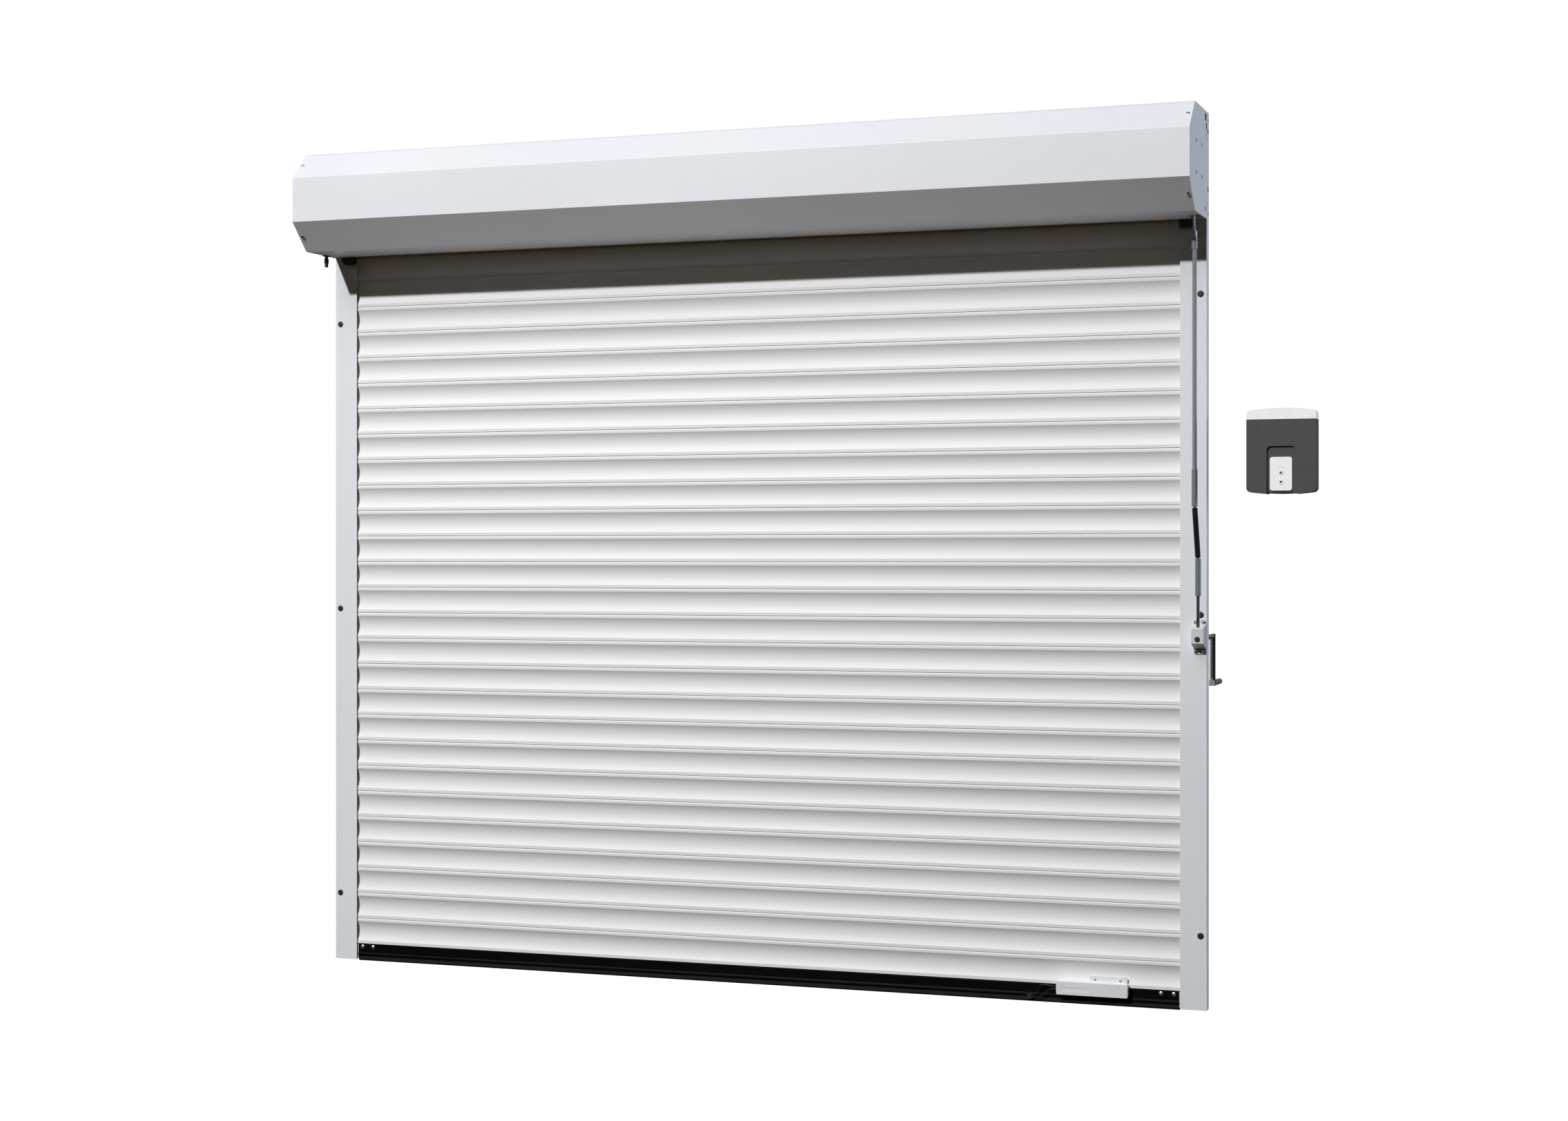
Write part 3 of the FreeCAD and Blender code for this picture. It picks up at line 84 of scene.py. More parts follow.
# ------------------------------------------------------------ materials
class Finish:
    """A Principled material with the texture nodes that its maker asks for."""

    def __init__(self, name, colour, roughness, **constants):
        self.material = bpy.data.materials.new(name)
        self.material.use_nodes = True
        self.tree = self.material.node_tree
        self.shader = self.tree.nodes["Principled BSDF"]
        self.place = self.node("ShaderNodeTexCoord").outputs["Object"]
        self.base = colour
        self.shader.inputs["Base Color"].default_value = (*colour, 1)
        self.shader.inputs["Roughness"].default_value = roughness
        for socket, value in constants.items():
            self.shader.inputs[socket.replace("_", " ")].default_value = value

    def node(self, kind, **settings):
        made = self.tree.nodes.new(kind)
        for name, value in settings.items():
            setattr(made, name, value)
        return made

    def noise(self, scale, detail=2.0, stretch=(1, 1, 1)):
        """Noise of about scale grains a metre, times stretch along each axis."""
        mapping = self.node("ShaderNodeMapping")
        mapping.inputs["Scale"].default_value = stretch
        self.tree.links.new(self.place, mapping.inputs["Vector"])
        texture = self.node("ShaderNodeTexNoise")
        texture.inputs["Scale"].default_value = scale
        texture.inputs["Detail"].default_value = detail
        self.tree.links.new(mapping.outputs["Vector"], texture.inputs["Vector"])
        return texture.outputs["Fac"]

    def bands(self, scale, axis):
        """Even bands across an axis, scale of them a metre or so."""
        texture = self.node("ShaderNodeTexWave", bands_direction=axis)
        texture.inputs["Scale"].default_value = scale
        self.tree.links.new(self.place, texture.inputs["Vector"])
        return texture.outputs["Fac"]

    def cells(self, scale, feature="F1"):
        """Distance in a pattern of about scale cells a metre."""
        texture = self.node("ShaderNodeTexVoronoi", feature=feature)
        texture.inputs["Scale"].default_value = scale
        self.tree.links.new(self.place, texture.inputs["Vector"])
        return texture.outputs["Distance"]

    def tint(self, factor, dark, light, low=0.3, high=0.7):
        """Colour that runs between two tones of the base as factor rises."""
        ramp = self.node("ShaderNodeValToRGB")
        for element, share, place in zip(ramp.color_ramp.elements, (dark, light), (low, high)):
            tone = share if hasattr(share, "__len__") else [share * part for part in self.base]
            element.color = (*[min(part, 1) for part in tone], 1)
            element.position = place
        self.tree.links.new(factor, ramp.inputs["Fac"])
        self.tree.links.new(ramp.outputs["Color"], self.shader.inputs["Base Color"])
        return self

    def gloss(self, factor, low, high):
        """Roughness that runs from low to high as factor rises."""
        spread = self.node("ShaderNodeMapRange")
        spread.inputs["From Min"].default_value = 0.3
        spread.inputs["From Max"].default_value = 0.7
        spread.inputs["To Min"].default_value = low
        spread.inputs["To Max"].default_value = high
        self.tree.links.new(factor, spread.inputs["Value"])
        self.tree.links.new(spread.outputs["Result"], self.shader.inputs["Roughness"])
        return self

    def bump(self, height, depth, strength=1.0):
        """Relief of about depth metres, added to the relief made before it."""
        relief = self.node("ShaderNodeBump")
        relief.inputs["Strength"].default_value = strength
        relief.inputs["Distance"].default_value = depth
        self.tree.links.new(height, relief.inputs["Height"])
        normal = self.shader.inputs["Normal"]
        if normal.links:
            self.tree.links.new(normal.links[0].from_socket, relief.inputs["Normal"])
        self.tree.links.new(relief.outputs["Normal"], normal)
        return self


def powder_coat(name, colour, roughness=0.42):
    """Stoved paint: fine orange peel, and faint clouds in tone and gloss."""
    finish = Finish(name, colour, roughness, Specular_IOR_Level=0.4)
    finish.tint(finish.noise(2.2, 4), 0.975, 1.01)
    finish.gloss(finish.noise(35, 3), roughness - 0.05, roughness + 0.06)
    return finish.bump(finish.noise(750, 1), 0.00002, 0.5).material


def coil_coat(name, colour, roughness=0.5):
    """Paint rolled onto strip: streaks along X, with a slightly different tone in each slat."""
    finish = Finish(name, colour, roughness, Specular_IOR_Level=0.22)
    finish.tint(finish.noise(13.3, 2, (0.02, 0.2, 1)), 0.985, 1.005)
    finish.gloss(finish.noise(600, 2, (0.01, 1, 1)), roughness - 0.05, roughness + 0.07)
    finish.bump(finish.noise(420, 2, (0.015, 1, 1)), 0.00001, 0.35)
    return finish.bump(finish.noise(900, 1), 0.00001, 0.3).material


def drawn_metal(name, colour, roughness, along=(1, 1, 0.01), metallic=1.0):
    """Metal with drawing lines; along shrinks the grain on the axis of the lines."""
    finish = Finish(name, colour, roughness, Metallic=metallic)
    streaks = finish.noise(1400, 3, along)
    finish.tint(streaks, 0.86, 1.1)
    finish.gloss(finish.noise(90, 3), roughness - 0.07, roughness + 0.1)
    return finish.bump(streaks, 0.00003, 0.5).material


def plated(name, colour, roughness=0.3):
    """Passivated zinc: cloudy, with a faint straw and blue cast."""
    finish = Finish(name, colour, roughness, Metallic=1.0)
    straw = [colour[0] * 1.02, colour[1], colour[2] * 0.95]
    blue = [colour[0] * 0.9, colour[1] * 0.97, colour[2] * 1.06]
    finish.tint(finish.noise(130, 4), straw, blue)
    finish.gloss(finish.noise(400, 3), roughness - 0.08, roughness + 0.12)
    return finish.bump(finish.noise(2200, 2), 0.00002, 0.4).material


def chromed(name, colour, roughness=0.12):
    """Polished chrome with faint clouds."""
    finish = Finish(name, colour, roughness, Metallic=1.0)
    finish.gloss(finish.noise(160, 4), roughness - 0.05, roughness + 0.08)
    finish.tint(finish.noise(60, 3), 0.93, 1.04)
    return finish.bump(finish.noise(900, 2), 0.000008, 0.3).material


def cast_metal(name, colour):
    """Die-cast zinc: grainy skin."""
    finish = Finish(name, colour, 0.5, Metallic=0.85)
    finish.tint(finish.noise(260, 4), 0.85, 1.1)
    finish.gloss(finish.noise(180, 2), 0.42, 0.6)
    return finish.bump(finish.noise(1600, 3), 0.00008, 0.7).material


def moulded(name, colour, roughness=0.5, grain=0.00004, specular=0.45):
    """Injection-moulded plastic with a spark-eroded grain."""
    finish = Finish(name, colour, roughness, Specular_IOR_Level=specular)
    finish.tint(finish.noise(45, 3), 0.96, 1.03)
    finish.gloss(finish.noise(300, 2), roughness - 0.06, roughness + 0.06)
    return finish.bump(finish.cells(1500), grain, 0.5).material


def painted_glow(material, glow):
    """Give a pale plastic an even faint glow: painted light that brightens it, with no lamp lighting
    it in the scene.
    """
    shader = material.node_tree.nodes["Principled BSDF"]
    shader.inputs["Emission Color"].default_value = (1, 1, 1, 1)
    shader.inputs["Emission Strength"].default_value = glow
    return material


def rubber(name, colour):
    """Extruded rubber: dull, with a pale bloom and lines along X."""
    finish = Finish(name, colour, 0.75, Specular_IOR_Level=0.35)
    finish.tint(finish.noise(30, 5, (0.1, 1, 1)), 0.75, 1.7)
    finish.gloss(finish.noise(120, 3), 0.62, 0.85)
    return finish.bump(finish.noise(700, 2, (0.02, 1, 1)), 0.00008, 0.6).material


def anodised(name, colour):
    """Black anodised extrusion with die lines along X."""
    finish = Finish(name, colour, 0.4, Metallic=0.3, Specular_IOR_Level=0.15)
    lines = finish.noise(1100, 3, (0.005, 1, 1))
    finish.tint(lines, 0.75, 1.35)
    finish.gloss(finish.noise(60, 3, (0.2, 1, 1)), 0.34, 0.48)
    return finish.bump(lines, 0.00003, 0.5).material


def bristle(name, colour):
    """Dense nylon fibres that stand along Y."""
    finish = Finish(name, colour, 0.7, Sheen_Weight=0.3)
    fibres = finish.noise(4000, 2, (1, 0.03, 1))
    finish.tint(fibres, 0.4, 2.2)
    return finish.bump(fibres, 0.0003, 1.0).material


def laminated(name, colour):
    """Stacked sheet steel of a motor's core, seen edge on along X."""
    finish = Finish(name, colour, 0.45, Metallic=0.9)
    sheets = finish.bands(320, "X")
    finish.tint(sheets, 0.6, 1.15)
    finish.gloss(finish.noise(200, 2), 0.38, 0.55)
    return finish.bump(sheets, 0.0001, 0.8).material


def circuit(name, colour):
    """Solder-masked board with copper tracks under the mask."""
    finish = Finish(name, colour, 0.35, Specular_IOR_Level=0.6)
    tracks = finish.cells(260, "DISTANCE_TO_EDGE")
    finish.tint(tracks, [part * 2.1 for part in colour], 1.0, 0.02, 0.06)
    finish.gloss(finish.noise(90, 2), 0.3, 0.42)
    return finish.bump(tracks, 0.00004, 0.6).material


def jacket(name, colour):
    """Soft PVC jacket of a thin wire."""
    finish = Finish(name, colour, 0.45, Specular_IOR_Level=0.5)
    finish.tint(finish.noise(220, 3), 0.7, 1.4)
    finish.gloss(finish.noise(500, 2), 0.36, 0.55)
    return finish.bump(finish.noise(2500, 2), 0.00004, 0.5).material


MATERIALS = {
    "casing_paint": powder_coat("casing_paint", (0.82, 0.832, 0.875)),
    "plate_paint": powder_coat("plate_paint", (0.88, 0.89, 0.91)),
    "guide_paint": powder_coat("guide_paint", (0.85, 0.89, 0.93)),
    "slat_paint": coil_coat("slat_paint", (0.89, 0.89, 0.895)),
    "gearbox_paint": powder_coat("gearbox_paint", (0.72, 0.73, 0.76), 0.38),
    "black_plastic": moulded("black_plastic", (0.018, 0.019, 0.021)),
    "black_brush": bristle("black_brush", (0.012, 0.012, 0.013)),
    "black_rubber": rubber("black_rubber", (0.006, 0.006, 0.006)),
    "black_aluminium": anodised("black_aluminium", (0.003, 0.003, 0.0032)),
    "black_cable": jacket("black_cable", (0.012, 0.012, 0.013)),
    "black_steel": drawn_metal("black_steel", (0.020, 0.021, 0.024), 0.38, metallic=0.4),
    "dark_steel": drawn_metal("dark_steel", (0.13, 0.12, 0.11), 0.34),
    "rod_paint": drawn_metal("rod_paint", (0.22, 0.225, 0.25), 0.42, metallic=0.25),
    "rod_aluminium": drawn_metal("rod_aluminium", (0.25, 0.26, 0.30), 0.5, metallic=0.15),
    "zinc_steel": plated("zinc_steel", (0.62, 0.63, 0.65)),
    "bearing_steel": chromed("bearing_steel", (0.66, 0.66, 0.68)),
    "strap_steel": drawn_metal("strap_steel", (0.30, 0.31, 0.33), 0.36, (0.01, 1, 1)),
    "core_steel": laminated("core_steel", (0.36, 0.34, 0.32)),
    "cast_zinc": cast_metal("cast_zinc", (0.42, 0.43, 0.45)),
    "aluminium_can": chromed("aluminium_can", (0.88, 0.87, 0.84), 0.2),
    "bright_chrome": chromed("bright_chrome", (0.74, 0.75, 0.77)),
    "dark_screw": plated("dark_screw", (0.24, 0.25, 0.28), 0.55),
    "white_plastic": moulded("white_plastic", (0.72, 0.72, 0.71)),
    "sensor_plastic": moulded("sensor_plastic", (0.88, 0.90, 0.93), 0.38, 0.00002),
    "dark_plastic": moulded("dark_plastic", (0.096, 0.096, 0.096), 0.6, 0.00006, 0.12),
    # pale_plastic and key_plastic get a painted glow: emission that brightens them, not light from a
    # lamp.
    "pale_plastic": painted_glow(moulded("pale_plastic", (0.93, 0.94, 0.95), 0.42, 0.00003), 0.13),
    "key_plastic": painted_glow(moulded("key_plastic", (0.93, 0.93, 0.93), 0.35, 0.00001), 0.1),
    "grey_plastic": moulded("grey_plastic", (0.15, 0.165, 0.20), 0.4, 0.00004),
    "grey_plastic_metal": drawn_metal("grey_plastic_metal", (0.46, 0.47, 0.50), 0.3, (1, 0.01, 1)),
    "circuit_board": circuit("circuit_board", (0.012, 0.085, 0.035)),
}
for node, cad_object in NODES.items():
    for material_slot in cad_object.material_slots:
        material_slot.material = MATERIALS[SLOT_OF[node]]
# The top shaft sits in the casing's shadow; it gets a lighter copy of rod_paint, painted light that
# stands in for the light the shadow holds back.
NODES["top_shaft"].material_slots[0].material = drawn_metal(
    "joint_metal", (0.52, 0.54, 0.60), 0.4, metallic=0.1)


# ------------------------------------------------------------ helpers for pieces
SMOOTH_TURN = 40        # degrees; edges that turn less than this are shaded smooth


def piece_from(name, mesh):
    """Object from a mesh, shaded smooth with its large faces kept flat."""
    mesh.polygons.foreach_set("use_smooth", [True] * len(mesh.polygons))
    mesh.set_sharp_from_angle(angle=math.radians(SMOOTH_TURN))
    piece = bpy.data.objects.new(name, mesh)
    scene.collection.objects.link(piece)
    normals = piece.modifiers.new("face_weighted_normals", "WEIGHTED_NORMAL")
    normals.keep_sharp = True
    return piece


def piece_from_bmesh(name, made):
    bmesh.ops.recalc_face_normals(made, faces=made.faces)
    mesh = bpy.data.meshes.new(name)
    made.to_mesh(mesh)
    made.free()
    return piece_from(name, mesh)


def stand_for(piece, *nodes, body=None, slot=None):
    """Give a piece its body and finish, from the CAD nodes that it stands for unless stated."""
    slot = slot or SLOT_OF[nodes[0]]
    piece.data.materials.clear()
    piece.data.materials.append(MATERIALS[slot])
    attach(piece, body or BODY_OF[nodes[0]])
    if nodes:
        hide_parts(*nodes)
    return piece


def arc_points(start, middle, finish, steps):
    """Points of the arc from start through middle to finish, without start itself."""
    (ax, ay), (bx, by), (cx, cy) = start, middle, finish
    a2, b2, c2 = ax * ax + ay * ay, bx * bx + by * by, cx * cx + cy * cy
    span = 2 * (ax * (by - cy) + bx * (cy - ay) + cx * (ay - by))
    x = (a2 * (by - cy) + b2 * (cy - ay) + c2 * (ay - by)) / span
    y = (a2 * (cx - bx) + b2 * (ax - cx) + c2 * (bx - ax)) / span
    first, via, last = [math.atan2(v - y, u - x) for u, v in (start, middle, finish)]
    sweep = (last - first) % math.tau
    if (via - first) % math.tau > sweep:
        sweep -= math.tau
    radius = math.hypot(ax - x, ay - y)
    turns = [first + sweep * step / steps for step in range(1, steps + 1)]
    return [(x + radius * math.cos(turn), y + radius * math.sin(turn)) for turn in turns]


def outline(*corners, steps=14, corner_steps=4):
    """Outline from (u, v) or (u, v, corner radius), and ("arc", u, v) that an arc passes through."""
    raw = []
    for index, corner in enumerate(corners):
        if corner[0] == "arc":
            after = corners[(index + 1) % len(corners)]
            arc = arc_points(raw[-1][:2], corner[1:], after[:2], steps)
            raw += [(*point, 0) for point in arc[:-1]]
        else:
            raw.append((*corner, 0)[:3])
    points = []
    for index, (u, v, radius) in enumerate(raw):
        if not radius:
            points.append((u, v))
            continue
        corner = Vector((u, v))
        before = Vector(raw[index - 1][:2]) - corner
        after = Vector(raw[(index + 1) % len(raw)][:2]) - corner
        half = before.angle(after) / 2
        reach = min(radius / math.tan(half), 0.45 * before.length, 0.45 * after.length)
        before.normalize()
        after.normalize()
        start, finish = corner + before * reach, corner + after * reach
        inward = (before + after).normalized()
        middle = corner + inward * reach * (1 / math.cos(half) - math.tan(half))
        points += [tuple(start)] + arc_points(start, middle, finish, corner_steps)
    return points


def prism(name, loops, low, high, axis="x"):
    """Closed extrusion of outlines in millimetres: the outer one first, then its hollows."""
    place = {"x": lambda u, v, t: (t, u * MM, v * MM), "y": lambda u, v, t: (u * MM, t, v * MM),
             "z": lambda u, v, t: (u * MM, v * MM, t)}[axis]
    made = bmesh.new()
    add_prism(made, loops, low, high, place)
    return piece_from_bmesh(name, made)


def add_prism(made, loops, low, high, place):
    ends = ([], [])
    for loop in loops:
        rings = [[made.verts.new(place(u, v, t)) for u, v in loop] for t in (low, high)]
        for index in range(len(loop)):
            after = (index + 1) % len(loop)
            made.faces.new((rings[0][index], rings[0][after], rings[1][after], rings[1][index]))
        for ring, edges in zip(rings, ends):
            edges += [made.edges.get((ring[index - 1], ring[index])) for index in range(len(ring))]
    for edges in ends:
        bmesh.ops.triangle_fill(made, edges=edges, use_beauty=True)


def folded_sheet(corners, thickness, radius, side=1):
    """Outline of a folded sheet: its outer corners from end to end, and the side it thickens to."""
    points = [Vector(corner) for corner in corners]
    inner = []
    for index, point in enumerate(points):
        runs = [(second - first).normalized() for first, second in
                zip(points[max(index - 1, 0):index + 1], points[max(index, 1):index + 2])]
        normals = [Vector((-run.y, run.x)) * side for run in runs]
        shift = sum(normals, Vector((0, 0))).normalized()
        inner.append(point + shift * thickness / shift.dot(normals[0]))
    ends = (0, len(points) - 1)
    outer = [(*point, 0 if index in ends else radius + thickness)
             for index, point in enumerate(points)]
    inner = [(*point, 0 if index in ends else radius) for index, point in enumerate(inner)]
    return outline(*outer, *inner[::-1])


ROUND_SIDES = 40        # of a drilled hole or a small round piece


def add_cylinder(made, radius, foot, direction, length):
    """Add a closed cylinder from foot along direction to a bmesh."""
    turn = Vector(direction).to_track_quat("Z", "Y").to_matrix().to_4x4()
    bmesh.ops.create_cone(made, cap_ends=True, segments=ROUND_SIDES, radius1=radius,
                          radius2=radius, depth=length,
                          matrix=Matrix.Translation(Vector(foot)) @ turn @
                          Matrix.Translation((0, 0, length / 2)))


def applied(piece):
    """Put the result of a piece's modifiers in its mesh."""
    graph = bpy.context.evaluated_depsgraph_get()
    mesh = bpy.data.meshes.new_from_object(piece.evaluated_get(graph))
    piece.modifiers.clear()
    piece.data = mesh
    return piece


def drilled(piece, holes):
    """Cut round holes, each (radius, foot, direction, length) in metres."""
    name = piece.name
    tools = bmesh.new()
    for hole in holes:
        add_cylinder(tools, *hole)
    cutter_mesh = bpy.data.meshes.new("holes")
    tools.to_mesh(cutter_mesh)
    tools.free()
    cutter = bpy.data.objects.new("holes", cutter_mesh)
    scene.collection.objects.link(cutter)
    piece.modifiers.clear()
    cut = piece.modifiers.new("holes", "BOOLEAN")
    cut.object = cutter
    cut.solver = "EXACT"
    mesh = applied(piece).data
    bpy.data.objects.remove(cutter)
    bpy.data.objects.remove(piece)
    return piece_from(name, mesh)


WELD = 0.000003         # vertices this near each other are one
FLAT_TURN = 0.3         # degrees; faces that turn less than this are made one
EDGE_TURN = 32          # degrees; edges that turn more than this are rounded


def softened(node, radius):
    """Copy of a CAD node with flat faces made whole and its sharp edges rounded."""
    made = bmesh.new()
    made.from_mesh(NODES[node].data)
    bmesh.ops.remove_doubles(made, verts=made.verts, dist=WELD)
    bmesh.ops.dissolve_limit(made, angle_limit=math.radians(FLAT_TURN), verts=made.verts,
                             edges=made.edges)
    sharp = [edge for edge in made.edges if len(edge.link_faces) == 2
             and edge.calc_face_angle(0) > math.radians(EDGE_TURN)]
    bmesh.ops.bevel(made, geom=sharp, offset=radius, segments=3, profile=0.5,
                    affect="EDGES", clamp_overlap=True)
    mesh = bpy.data.meshes.new(node + "_shell")
    made.to_mesh(mesh)
    made.free()
    if "custom_normal" in mesh.attributes:
        mesh.attributes.remove(mesh.attributes["custom_normal"])
    return stand_for(piece_from(mesh.name, mesh), node)


# ------------------------------------------------------------ sensor wires
WIRE_DIAMETER = 0.0024
UPPER_WIRE = [(0.893, -0.038, 0.0455), (0.880, -0.038, 0.046), (0.868, -0.0374, 0.0482),
              (0.855, -0.0364, 0.050), (0.8445, -0.035, 0.046), (0.8395, -0.0336, 0.036),
              (0.8365, -0.0324, 0.026), (0.829, -0.031, 0.0185), (0.818, -0.0295, 0.015)]
LOWER_WIRE = [(0.893, -0.038, 0.040), (0.881, -0.0382, 0.0402), (0.870, -0.038, 0.037),
              (0.861, -0.037, 0.0295), (0.8525, -0.0354, 0.021), (0.842, -0.0334, 0.016),
              (0.831, -0.0312, 0.0144), (0.818, -0.0292, 0.0106)]


def sensor_wire(node, route):
    curve = bpy.data.curves.new(node + "_flex", "CURVE")
    curve.dimensions = "3D"
    spline = curve.splines.new("NURBS")
    spline.points.add(len(route) - 1)
    for point, place in zip(spline.points, route):
        point.co = (*place, 1)
    spline.order_u = 3
    spline.use_endpoint_u = True
    curve.resolution_u = 12
    curve.bevel_depth = WIRE_DIAMETER / 2
    curve.bevel_resolution = 5
    curve.use_fill_caps = True
    wire = bpy.data.objects.new(curve.name, curve)
    scene.collection.objects.link(wire)
    stand_for(wire, node)


sensor_wire("sensor_wire_upper", UPPER_WIRE)
sensor_wire("sensor_wire_lower", LOWER_WIRE)


# ------------------------------------------------------------ slats
SLAT_PITCH = 75
SLAT_FOOT = 51
SLAT_OUTLINE = outline(
    (-25, 0.4, 0.3), (-25, 8.8, 1.6), ("arc", -17.6, 37), (-25, 65.2, 1.6), (-25, 71.4, 1.5),
    (-22.6, 75, 0.6), (-21, 75), (-21, 82, 0.6), (-18.2, 82, 0.6), (-18.2, 75), (-10.5, 75, 1),
    (-8.5, 72.5, 1.5), ("arc", -5.5, 36), (-8.5, 3, 1.5), (-10.5, 1.4, 0.8), (-17.4, 1.4),
    (-17.4, 8.4, 0.5), (-21.8, 8.4, 0.5), (-21.8, 0.4), steps=18)
SLAT_HOLLOW = outline(
    (-22.1, 9.9), ("arc", -16.3, 37), (-22.5, 63.2), (-23.6, 66.5), (-23.6, 71.2), (-22, 73.5),
    (-11.2, 73.5), (-9.9, 71.8), ("arc", -6.9, 36), (-9.9, 9.9), steps=10)


def slat_group(node, first, last):
    """Hollow roll-formed slats from first up to last, hooked into one another."""
    low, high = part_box(node)
    made = bmesh.new()
    for index in range(first, last):
        foot = SLAT_FOOT + index * SLAT_PITCH
        loops = [[(depth, height + foot) for depth, height in loop]
                 for loop in (SLAT_OUTLINE, SLAT_HOLLOW)]
        add_prism(made, loops, low.x, high.x, lambda u, v, t: (t, u * MM, v * MM))
    stand_for(piece_from_bmesh(node + "_formed", made), node)


for group, node in enumerate(("lower_slats", "middle_slats", "upper_slats")):
    slat_group(node, group * 9, group * 9 + 9)


# ------------------------------------------------------------ bottom bar and seal
def bottom_profiles():
    low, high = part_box("bottom_bar")
    bar = outline(
        (-24, 14, 0.8), (-27, 17, 1.5), (-27, 22, 1), (-24.5, 24.5, 1.5), (-24.5, 49.2, 0.8),
        (-21.8, 51), (-21, 51), (-21, 58, 0.6), (-18.2, 58, 0.6), (-18.2, 52), (-10.5, 52, 1),
        (-7, 48, 1.5), (-5.6, 30, 3), (-5.6, 14, 0.6), (-12, 14), (-12, 19), (-20, 19), (-20, 14))
    hollow = outline((-22.5, 27), (-8, 27), (-8.6, 46), (-11, 48.5), (-22.5, 48.5))
    stand_for(prism("bottom_bar_extrusion", [bar, hollow], low.x, high.x), "bottom_bar")
    seal = outline((-23.5, 5, 1), ("arc", -16, 0), (-8.5, 5, 1), (-8.5, 13.8, 0.6), (-12.3, 13.8),
                   (-12.3, 18.6, 0.4), (-19.7, 18.6, 0.4), (-19.7, 13.8), (-23.5, 13.8, 0.6))
    tube = outline((-21, 6), ("arc", -16, 2.4), (-11, 6), (-11, 11), (-21, 11))
    stand_for(prism("bottom_seal_extrusion", [seal, tube], low.x, high.x), "bottom_seal")


bottom_profiles()

# ------------------------------------------------------------ guide rails
GUIDE_OUTLINE = outline(
    (1219, -30, 0.7), (1272.6, -30), (1273, -29.6), (1273.4, -30), (1289.3, -30, 1.2),
    (1289.3, 0, 0.8), (1219, 0, 0.7), (1219, -2, 0.6), (1256.5, -2, 0.6), (1256.5, -28, 0.6),
    (1219, -28, 0.6))
GUIDE_CHAMBER = outline((1258.5, -28, 0.8), (1287.3, -28, 0.8), (1287.3, -2, 0.8),
                        (1258.5, -2, 0.8))
FIXING_X = 1.273
FIXING_HEIGHTS = (0.199, 1.038, 1.877)
SIDE_HOLE_X, SIDE_HOLE_Y = 1.285, -0.013
CRANK_X, CRANK_Z = 1.2714, 0.9763
BEFORE_RAIL = -0.032    # a drill for the rail's front starts here
WALL_SCREW, PLUG, SIDE_SCREW, CRANK_WAY, GEARBOX_SCREW = 0.0045, 0.0075, 0.002, 0.007, 0.0021
GEARBOX_DX = (-0.010, 0.010)
GEARBOX_DZ = (-0.0345, 0.043)


def guide_rail(node, side):
    """Extruded rail with its wall-screw, plug, side and crank holes."""
    low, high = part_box(node)
    loops = [[(side * x, y) for x, y in loop] for loop in (GUIDE_OUTLINE, GUIDE_CHAMBER)]
    rail = prism(node + "_extrusion", loops, low.z, high.z, "z")
    into_wall = (0, 1, 0)
    holes = []
    for height in FIXING_HEIGHTS:
        holes.append((WALL_SCREW, (side * FIXING_X, -0.004, height), into_wall, 0.006))
        holes.append((PLUG, (side * FIXING_X, BEFORE_RAIL, height), into_wall, 0.006))
    for height in FIXING_HEIGHTS[1:]:
        holes.append((SIDE_SCREW, (side * SIDE_HOLE_X, SIDE_HOLE_Y, height), (side, 0, 0), 0.006))
    if side > 0:
        holes.append((CRANK_WAY, (CRANK_X, BEFORE_RAIL, CRANK_Z), into_wall, 0.034))
        for dx in GEARBOX_DX:
            for dz in GEARBOX_DZ:
                place = (CRANK_X + dx, BEFORE_RAIL, CRANK_Z + dz)
                holes.append((GEARBOX_SCREW, place, into_wall, 0.005))
    stand_for(drilled(rail, holes), node)


guide_rail("right_guide_rail", 1)
guide_rail("left_guide_rail", -1)


def brush_strips():
    """Four strips of bristle tufts, two in each guide rail's slot."""
    rng = random.Random(4)
    low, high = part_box("brush_seals")
    base, tuft_pitch, tuft_half, uneven = 0.0008, 0.0021, 0.0007, 0.0006
    strip_width, front_length, back_length = 0.006, 0.0026, 0.0031
    made = bmesh.new()
    outer, inner = high.x, high.x - strip_width
    for side in (-1, 1):
        for root, tip in ((low.y, low.y + front_length), (high.y, high.y - back_length)):
            toward = 1 if tip > root else -1
            add_block(made, (side * inner, root, low.z), (side * outer, root + toward * base, high.z))
            for index in range(int((high.z - low.z) / tuft_pitch)):
                height = low.z + tuft_pitch * (index + 0.5)
                reach = tip - toward * rng.uniform(0, uneven)
                add_tuft(made, side * inner, side * outer, root + toward * base, reach, height,
                         tuft_half, rng.uniform(-uneven, uneven))
    stand_for(piece_from_bmesh("brush_seal_bristles", made), "brush_seals")


def add_block(made, low, high):
    corners = [made.verts.new((x, y, z)) for x in (low[0], high[0]) for y in (low[1], high[1])
               for z in (low[2], high[2])]
    for face in ((0, 1, 3, 2), (4, 6, 7, 5), (0, 4, 5, 1), (2, 3, 7, 6), (0, 2, 6, 4),
                 (1, 5, 7, 3)):
        made.faces.new([corners[index] for index in face])


def add_tuft(made, left, right, root, tip, height, half, lean):
    """Tuft of bristles: narrow at its tip, which leans up or down."""
    corners = [made.verts.new((x, y, z)) for x in (left, right) for y, z in (
        (root, height - half), (root, height + half), (tip, height + lean + half * 0.6),
        (tip, height + lean - half * 0.6))]
    for face in ((0, 1, 2, 3), (4, 7, 6, 5), (1, 5, 6, 2), (2, 6, 7, 3), (0, 3, 7, 4),
                 (0, 4, 5, 1)):
        made.faces.new([corners[index] for index in face])


brush_strips()


# ------------------------------------------------------------ casing
SHEET = 1.5
BEND = 1.2


